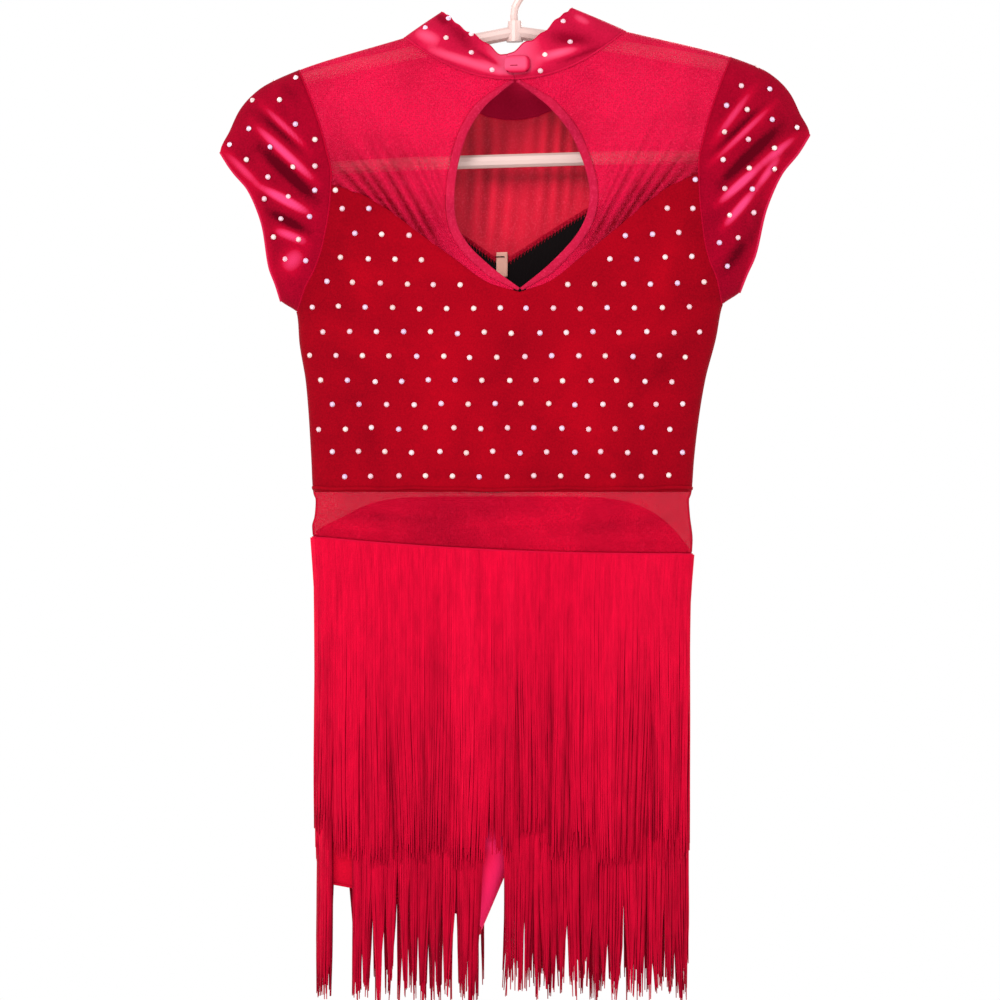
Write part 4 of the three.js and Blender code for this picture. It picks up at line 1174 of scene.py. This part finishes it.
def cords_tree(material):
    """Turns chains of points into round cords, as thick as each point says."""
    kinds = {"Chains": "Geometry", "Cord radius": "Float", "Sides": "Int"}
    tree, given, inputs = node_group("fringe_cords", kinds, "Cords")
    chains = add(tree, "GeometryNodeMeshToCurve", Mesh=given["Chains"])
    full = add(tree, "GeometryNodeInputNamedAttribute", Name="fullness", data_type="FLOAT")
    ring = add(
        tree, "GeometryNodeCurvePrimitiveCircle", Resolution=given["Sides"],
        Radius=given["Cord radius"],
    )
    cords = add(
        tree, "GeometryNodeCurveToMesh", Curve=chains, Profile_Curve=ring,
        Scale=full.outputs["Attribute"], Fill_Caps=True,
    )
    smooth = add(tree, "GeometryNodeSetShadeSmooth", Geometry=cords)
    real = add(tree, "GeometryNodeRealizeInstances", Geometry=smooth)
    dressed = add(tree, "GeometryNodeSetMaterial", Geometry=real, Material=material)
    add(tree, "NodeGroupOutput", Cords=dressed)
    return tree, inputs


def grown(name, mesh, tree, inputs, values):
    """The plain mesh that a node tree makes of a host mesh, with values for its inputs."""
    host = into_scene(name + "_host", mesh)
    nodes = host.modifiers.new("nodes", "NODES")
    nodes.node_group = tree
    for key, value in values.items():
        nodes[inputs[key]] = value
    evaluated = host.evaluated_get(bpy.context.evaluated_depsgraph_get())
    result = bpy.data.meshes.new_from_object(evaluated)
    bpy.data.objects.remove(host)
    result.name = name
    return into_scene(name, result)


def chainette():
    """Rayon chainette: shiny twisted filament with a bead for every stitch of its chain, painted
    darker towards the tips and at the edges of locks as shade. Real stitches are 1.2 mm, drawn 2
    mm to show."""
    material, tree = empty_material("rayon_chainette")
    where = add(tree, "ShaderNodeTexCoord").outputs["Object"]
    own = add(tree, "ShaderNodeAttribute", attribute_name="shade").outputs["Fac"]
    chain_stitch, lock_wide, lock_long = 0.002, 0.02, 0.14
    streaks = add(
        tree, "ShaderNodeMapping", Vector=where,
        Scale=(1 / lock_wide, 1 / lock_wide, 1 / lock_long),
    )
    locks = add(tree, "ShaderNodeTexNoise", Vector=streaks, Detail=4.0, Roughness=0.6)
    # the cords' painted shade from their shade attribute, over random streaks of tone
    blend = add(tree, "ShaderNodeMath", {0: locks, 1: 0.8, 2: own}, operation="MULTIPLY_ADD")
    tone = add(tree, "ShaderNodeMapRange", Value=blend, From_Min=0.4, From_Max=1.4)
    dye_and_shade = add(
        tree, "ShaderNodeMix", {0: tone, 6: linear("#5c0210"), 7: linear("#ba062a")},
        data_type="RGBA",
    )
    # a wave is 2 pi / 20 m long over the texture's scale, and there is one to a stitch
    beads = add(
        tree, "ShaderNodeTexWave", Vector=where, Scale=2 * math.pi / chain_stitch / 20,
        Distortion=1.5, bands_direction="Z",
    )
    bump = add(tree, "ShaderNodeBump", Height=beads.outputs[1], Strength=0.2, Distance=0.0003)
    skin = add(
        tree, "ShaderNodeBsdfPrincipled", Base_Color=dye_and_shade.outputs[2], Roughness=0.5, Normal=bump,
        Specular_IOR_Level=0.1, Specular_Tint=linear("#ff3a5c"), Sheen_Weight=0.08,
        Sheen_Tint=linear("#ff2a5c"),
    )
    add(tree, "ShaderNodeOutputMaterial", Surface=skin)
    return material


fringe_thread = chainette()
fringe_tree, fringe_inputs = cords_tree(fringe_thread)
header_tape = mesh_of_knit("braided_header_tape", "#a4082a", "#7c0418", "#ac1236", 0.01)

# Cords in each of two layers, their radius, how far out a tip hangs, widths and pull of
# the locks and where they start to part, how unevenly locks and cords end, how much longer
# all are, whether one lock goes through both layers, the painted brightness of root and tip
# (painted light: the root lighter, the tip in painted shade), and the gap between the legs that
# has no cords.
TIERS = {
    "upper": {
        "top": -530.4, "cords": 330, "radius": 0.88, "flare": 4.2, "locks": (8, 36),
        "pull": (0.0, 0.16), "parts": (0.05, 0.5), "uneven": 22, "ragged": 20, "longer": 0,
        "locks_go_through": False, "tone": (0.75, 0.5), "parting": (0, 0), "seed": 11,
    },
    "lower": {
        "top": -655, "cords": 300, "radius": 0.84, "flare": 2.8, "locks": (4, 13),
        "pull": (0.2, 0.8), "parts": (0.5, 0.8), "uneven": 16, "ragged": 38, "longer": -7,
        "locks_go_through": True, "tone": (0.7, 0.34), "parting": (-18, 1), "seed": 29,
    },
}
# Locks of the lower tier that hang apart: x from and to at the root, x from and to at the
# tip, how much shorter they end, and where they start to part.
PARTED_LOCKS = {
    BACK: [
        (-164, -141, -161, -150, 2, 0.0),
        (-141, -122, -131, -123, 2, 0.0),
        (-41, -18, -37, -22, -5, 0.45),
        (0, 28, 2, 26, 4, 0.5),
    ],
    FRONT: [(-164, -140, -163, -150, 0, 0.2), (-140, -122, -129, -124, 4, 0.4)],
}
CORD_POINTS, CORD_SIDES, LAYER_APART, TAPE_THICK = 16, 5, 1.1, 0.9
HALF_HEADER = 345  # millimetres of tape on the back or the front
TO_THE_END = 1.05  # a lock that draws in all the way down, as a share of its drop


def locks_of(tier, x_to_share, span, draw):
    """Locks as shares of half the ring: root from and to, tip from and to; how much shorter
    they end; where they start to part and are apart; their random brightness and how much painted
    shade darkens their edges."""
    rows, at = [], 0.0
    for x0, x1, tip0, tip1, shorter, starts in span:
        root1, root0, end1, end0 = x_to_share([x0, x1, tip0, tip1])
        apart = starts + draw.uniform(0.5, 0.6)
        rows.append((root0, root1, end0, end1, shorter, starts, apart, 0.5, 0.6))
    taken = [(row[0], row[1]) for row in rows]
    left_leg = x_to_share([tier["parting"][0]])[0]
    while at < 1:
        wide = draw.uniform(*tier["locks"]) / HALF_HEADER
        pull, shift, late, tone = draw.uniform(size=4)
        centre = at + wide / 2
        pull = mix(pull, 1, 0.75 * (centre > left_leg))
        closed = wide * (1 - mix(*tier["pull"], pull)) / 2
        shorter = tier["uneven"] * (draw.uniform() ** 1.6 * 1.4 - 0.45)
        middle = centre + (shift - 0.5) * 0.3 * wide
        if not any(low - 1e-3 < centre < high + 1e-3 for low, high in taken):
            ends = (middle - closed, middle + closed, shorter)
            starts = mix(*tier["parts"], late)
            rows.append((at, at + wide, *ends, starts, TO_THE_END, tone, draw.uniform() ** 3))
        at += wide
    return np.array(rows)


def fringe_chains(name, face, tier, parted):
    """The middles of a tier's cords, as chains of points, with each cord's thickness."""
    draw = np.random.default_rng(tier["seed"] + face)
    share_to_angle, x_to_share = along_ring(tier["top"], HEADER_MIDDLE)
    down = np.linspace(0, 1, CORD_POINTS) ** 0.9
    points, shades, fullness = [], [], []
    parting = sorted(x_to_share(list(tier["parting"])))
    for layer in (0, 1):
        if layer == 0 or not tier["locks_go_through"]:
            rows = locks_of(tier, x_to_share, parted, draw)
        for n in range(tier["cords"]):
            own = (n + 0.5 + draw.uniform(-0.18, 0.18)) / tier["cords"]
            held = np.flatnonzero((rows[:, 0] <= own) & (own < rows[:, 1]))
            place, swing, wave, longer, tone, lift, curl = draw.uniform(size=7)
            if parting[0] < own < parting[1] or not len(held):
                continue
            root0, root1, tip0, tip1, shorter, starts, ends, lock_tone, gap = rows[held[0]]
            across = (own - root0) / (root1 - root0)
            # along the tape: drawn into its lock, with a swing and a sway of its own
            tip = mix(tip0, tip1, np.clip(across + 0.12 * (place - 0.5), 0, 1))
            share = mix(own, tip, ease(down, starts, ends))
            share = share + (swing - 0.5) * 0.003 * ease(down, 0.15, 1)
            sway = 0.0022 * np.sin(down * mix(5, 9, lock_tone) + 20 * gap + 2 * wave)
            share = share + sway * ease(down, 0.05, 0.6)
            # down: a lock's outer cords end a little higher
            drop = DROP - shorter + tier["ragged"] * (longer - 0.5) + tier["longer"]
            drop -= 7 * max(0.0, abs(2 * across - 1) - 0.5) * tier["pull"][1]
            z = tier["top"] - 1 - drop * down
            # outwards: a lock is round, so that its middle stands out
            out = mix(HEADER_MIDDLE + 0.3, tier["flare"], ease(down, 0, 1))
            out = out + layer * LAYER_APART - 0.4
            bulge = math.sin(math.pi * min(max(across, 0.0), 1.0))
            out = out + (0.9 * bulge + 0.25 * (lift - 0.5)) * ease(down, 0.05, 0.6)
            out = out + 0.2 * np.sin(down * mix(6, 11, curl)) * down
            share = np.clip(share, 0.002, 0.998)
            points.append(round_shorts(face, share_to_angle(share), z, np.maximum(out, 0.9)))
            # painted shade: darker towards the tips and at a lock's edges, over a random tone to
            # each cord and lock
            shade = mix(*tier["tone"], down) + 0.1 * (tone - 0.5)
            shade = shade + 0.2 * (lock_tone - 0.5) * ease(down, 0.08, 0.5)
            shades.append(shade - 0.5 * gap * (1 - bulge) ** 2 * ease(down, starts, starts + 0.3))
            fullness.append(1 - 0.5 * ease(down, 0.85, 1))
    count = len(points)
    at = np.arange(count * CORD_POINTS).reshape(count, CORD_POINTS)
    edges = np.stack([at[:, :-1], at[:, 1:]], -1).reshape(-1, 2)
    mesh = bpy.data.meshes.new(name)
    mesh.from_pydata((askew(np.concatenate(points)) * MM).tolist(), edges.tolist(), [])
    for key, values in (("shade", shades), ("fullness", fullness)):
        layer = mesh.attributes.new(key, "FLOAT", "POINT")
        layer.data.foreach_set("value", np.concatenate(values))
    return mesh


TAPE_LOOPS = 170


def header_grid(face, tier, rows=8, cols=300):
    down, share = lattice(rows, cols)
    angle = along_ring(tier["top"], HEADER_MIDDLE)[0](mix(0.002, 0.998, share))
    z = tier["top"] - HEADER["tall"] * down
    out = HEADER_MIDDLE + 0.25 * np.sin(share * TAPE_LOOPS * 2 * np.pi) * np.sin(np.pi * down)
    shape = np.broadcast(angle, z).shape
    return round_shorts(face, np.broadcast_to(angle, shape), np.broadcast_to(z, shape), out)


for tier_name, tier in TIERS.items():
    for side_name, face in FACES.items():
        cords_name = f"cords_{tier_name}_{side_name}"
        parted = PARTED_LOCKS[face] if tier_name == "lower" else []
        chains = fringe_chains(cords_name, face, tier, parted)
        sizes = {"Cord radius": tier["radius"] * MM, "Sides": CORD_SIDES}
        cords = grown(cords_name, chains, fringe_tree, fringe_inputs, sizes)
        tape_name = f"header_{tier_name}_{side_name}"
        header = panel(tape_name, header_grid(face, tier), TAPE_THICK, header_tape, painted_light=0.9)
        for piece in (cords, header):
            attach(piece, "root")
            piece.name
        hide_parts(f"fringe_{tier_name}_{side_name}")


# ---- Glass stones ----
# Flat-backed glass stones, some 5 mm across, faceted and coated so that they flash white, pink,
# lilac or cream. They are glued in staggered rows on bodice, sleeves and collar.
STONE = {"radius": 2.35, "tall": 1.7, "across": 23.5, "down": 20.75}


def stones_tree(material):
    """Sets a faceted stone on every point, square to the cloth, each turned its own way."""
    kinds = {"Places": "Geometry", "Radius": "Float", "Height": "Float", "Seed": "Int"}
    tree, given, inputs = node_group("glued_stones", kinds, "Stones")
    table = add(tree, "ShaderNodeMath", {0: given["Radius"], 1: 0.5}, operation="MULTIPLY")
    stone = add(
        tree, "GeometryNodeMeshCone", Vertices=9, Radius_Top=table,
        Radius_Bottom=given["Radius"], Depth=given["Height"],
    )
    out = add(tree, "GeometryNodeInputNamedAttribute", Name="out", data_type="FLOAT_VECTOR")
    square = add(tree, "FunctionNodeAlignRotationToVector", Vector=out, axis="Z")
    spin = add(
        tree, "FunctionNodeRandomValue", {2: 0.0, 3: 6.28, 8: given["Seed"]},
        data_type="FLOAT",
    )
    turn = add(
        tree, "FunctionNodeAxisAngleToRotation", Axis=(0.0, 0.0, 1.0), Angle=spin.outputs[1]
    )
    turned = add(
        tree, "FunctionNodeRotateRotation", Rotation=square, Rotate_By=turn, rotation_space="LOCAL"
    )
    placed = add(
        tree, "GeometryNodeInstanceOnPoints", Points=given["Places"],
        Instance=stone.outputs["Mesh"], Rotation=turned,
    )
    tint = add(
        tree, "FunctionNodeRandomValue", {2: 0.0, 3: 1.0, 8: given["Seed"]},
        data_type="FLOAT",
    )
    tinted = add(
        tree, "GeometryNodeStoreNamedAttribute", Geometry=placed, Name="tint",
        Value=tint.outputs[1], data_type="FLOAT", domain="INSTANCE",
    )
    real = add(tree, "GeometryNodeRealizeInstances", Geometry=tinted)
    dressed = add(tree, "GeometryNodeSetMaterial", Geometry=real, Material=material)
    add(tree, "NodeGroupOutput", Stones=dressed)
    return tree, inputs


stone_glass, tree = empty_material("coated_glass")
# each stone's colour is partly its coating's tint and partly painted flash: one tint to a stone,
# with painted sparkle over it
own = add(tree, "ShaderNodeAttribute", attribute_name="tint").outputs["Fac"]
flash = add(tree, "ShaderNodeValToRGB", Fac=own)
flash.color_ramp.interpolation = "CONSTANT"
FLASHES = ["#c0a6ae", "#b87e92", "#b8928a", "#9c80b0", "#c8b2a8", "#b4808c", "#a48cb6"]
ramp = flash.color_ramp.elements
while len(ramp) < len(FLASHES):
    ramp.new(len(ramp) / len(FLASHES))
for k, code in enumerate(FLASHES):
    ramp[k].position = k / len(FLASHES)
    ramp[k].color = linear(code)
where = add(tree, "ShaderNodeTexCoord").outputs["Object"]
SPARKLE_SIZE = 0.004
sparkle_spots = add(tree, "ShaderNodeTexNoise", Vector=where, Scale=1 / SPARKLE_SIZE, Detail=1.0)
painted_sparkle = add(tree, "ShaderNodeMix", {0: sparkle_spots, 6: flash, 7: linear("#c8b4b8")}, data_type="RGBA")
skin = add(
    tree, "ShaderNodeBsdfPrincipled", Base_Color=painted_sparkle.outputs[2], Roughness=0.12, IOR=1.55,
    Coat_Weight=0.6, Coat_Roughness=0.05,
)
add(tree, "ShaderNodeOutputMaterial", Surface=skin)
stone_tree, stone_inputs = stones_tree(stone_glass)


def stones_on(name, surface, places, lift, seed):
    """Glues stones at (x, z) places on a surface given as a function of them."""
    points, out = [], []
    for x, z in places:
        here, beside, above = (surface(x + dx, z + dz) for dx, dz in ((0, 0), (1, 0), (0, 1)))
        normal = np.cross(beside - here, above - here)
        normal *= math.copysign(1, normal[1] * here[1]) / np.linalg.norm(normal)
        points.append(here + normal * lift)
        out.append(normal)
    mesh = bpy.data.meshes.new(name)
    mesh.from_pydata((askew(np.array(points)) * MM).tolist(), [], [])
    layer = mesh.attributes.new("out", "FLOAT_VECTOR", "POINT")
    layer.data.foreach_set("vector", np.array(out).ravel())
    sizes = {"Radius": STONE["radius"] * MM, "Height": STONE["tall"] * MM, "Seed": seed}
    piece = grown(name, mesh, stone_tree, stone_inputs, sizes)
    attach(piece, "root")
    return piece


ROWS_FROM, ROW_COUNT, ROW_OFFSET, ROW_REACH = -213.8, 13, (3.2, -8.5), 9
SET_UNEVEN = 0.9  # millimetres either way
CORNER_STONES = ((-156, -209.5), (157, -209.5))
ROW_SAG, UNSAGGED_ROW = 7, 8  # upper rows sag at the middle, and all hang level


def stone_rows(name, draw, margin=6.5):
    """(x, z) of a bodice panel's staggered rows, set by hand and so a little uneven."""
    for row in range(ROW_COUNT):
        for n in range(-ROW_REACH, ROW_REACH + 1):
            off_x, off_z = draw.uniform(-SET_UNEVEN, SET_UNEVEN, 2)
            x = n * STONE["across"] + ROW_OFFSET[row % 2] + off_x
            z = ROWS_FROM - row * STONE["down"] + off_z
            z += ROW_SAG * (x / BACK_HALF) ** 2 * max(0, 1 - row / UNSAGGED_ROW)
            z -= LEAN * x * (1 - float(ease(z, LEAN_FROM, BODICE_HEM)))
            across = min(1.0, abs(x - V_POINT_ACROSS[name] * 0.5) / float(body_half(z)))
            inside = abs(x) < float(body_half(z)) - margin
            if inside and BODICE_HEM + 7 < z < float(v_seam[name](across)) - margin:
                yield x, z
    yield from CORNER_STONES


def bodice_surface(name, face):
    return lambda x, z: on_cloth(
        face, np.array(x), np.array(z), crease_relief(x, z, BODICE_CREASES[name])
    )


for name, face in FACES.items():
    places = list(stone_rows(name, np.random.default_rng(5 + face)))
    surface = bodice_surface(name, face)
    stones_on(f"stones_bodice_{name}", surface, places, VELVET_THICK / 2, seed=3 + face)

# (x, z) on the back of each sleeve. The fronts have them mirrored from the other sleeve.
SLEEVE_STONES = {
    "left": [
        (-229, -128), (-205, -129), (-191, -110), (-232, -153), (-191, -151), (-174, -165),
        (-249, -166), (-213, -170), (-234, -180), (-193, -188), (-174, -188), (-215, -196),
        (-197, -214), (-174, -209), (-218, -215), (-178, -232), (-203, -233), (-209, -249),
        (-187, -252), (-198, -269), (-180, -271),
    ],
    "right": [
        (211, -112), (197, -129), (222, -132), (184, -146), (202, -150), (224, -159),
        (246, -166), (182, -169), (203, -176), (226, -184), (181, -193), (204, -201),
        (226, -202), (183, -218), (207, -219), (188, -241), (209, -239), (180, -264),
        (196, -260), (188, -284),
    ],
}
COLLAR_STONES = [
    (-78, -70), (-60, -80), (-38, -77), (-58, -62), (-20, -110), (26, -98), (48, -87),
    (22, -112), (42, -68), (-38, -94),
]


def sleeve_surface(name, face):
    side = SIDES[name]

    def at(x, z):
        a = np.clip((SLEEVE_SEAM_TOP - z) / (SLEEVE_SEAM_TOP - UNDERARM_LEVEL), 0, 1)
        inner, outer = armhole_half(z), outline_half(z)
        v = np.clip((side * x - inner) / np.maximum(outer - inner, 1), 0, 1)
        folds = sleeve_fade(v, a) * crease_relief(side * x, z, SLEEVE_CREASES[name, face])
        return on_cloth(face, np.array(x), np.array(z), sleeve_puff(v, a) + folds)

    return at


for name, other in (("left", "right"), ("right", "left")):
    for face_name, face in FACES.items():
        places = SLEEVE_STONES[name]
        if face == FRONT:
            places = [(-x, z) for x, z in SLEEVE_STONES[other]]
        piece_name, seed = f"stones_sleeve_{name}_{face_name}", 20 + face + 3 * SIDES[name]
        stones_on(piece_name, sleeve_surface(name, face), places, VELVET_THICK / 2, seed)

collar_points = collar_grid()[0].reshape(-1, 3)


def collar_surface(face):
    """The collar's wall at (x, z), from the nearest three points of its grid."""
    wall = collar_points[face * collar_points[:, 1] > 0.5]

    def at(x, z):
        away = np.hypot(wall[:, 0] - x, wall[:, 2] - z)
        near = np.argsort(away)[:3]
        share = 1 / (away[near] + 0.01)
        return np.array([x, (wall[near, 1] * share).sum() / share.sum(), z])

    return at


for face_name, face in FACES.items():
    places = [(x, z - 0.1 * abs(x) * (face == FRONT)) for x, z in COLLAR_STONES]
    stones_on(f"stones_collar_{face_name}", collar_surface(face), places, 0.8, 40 + face)
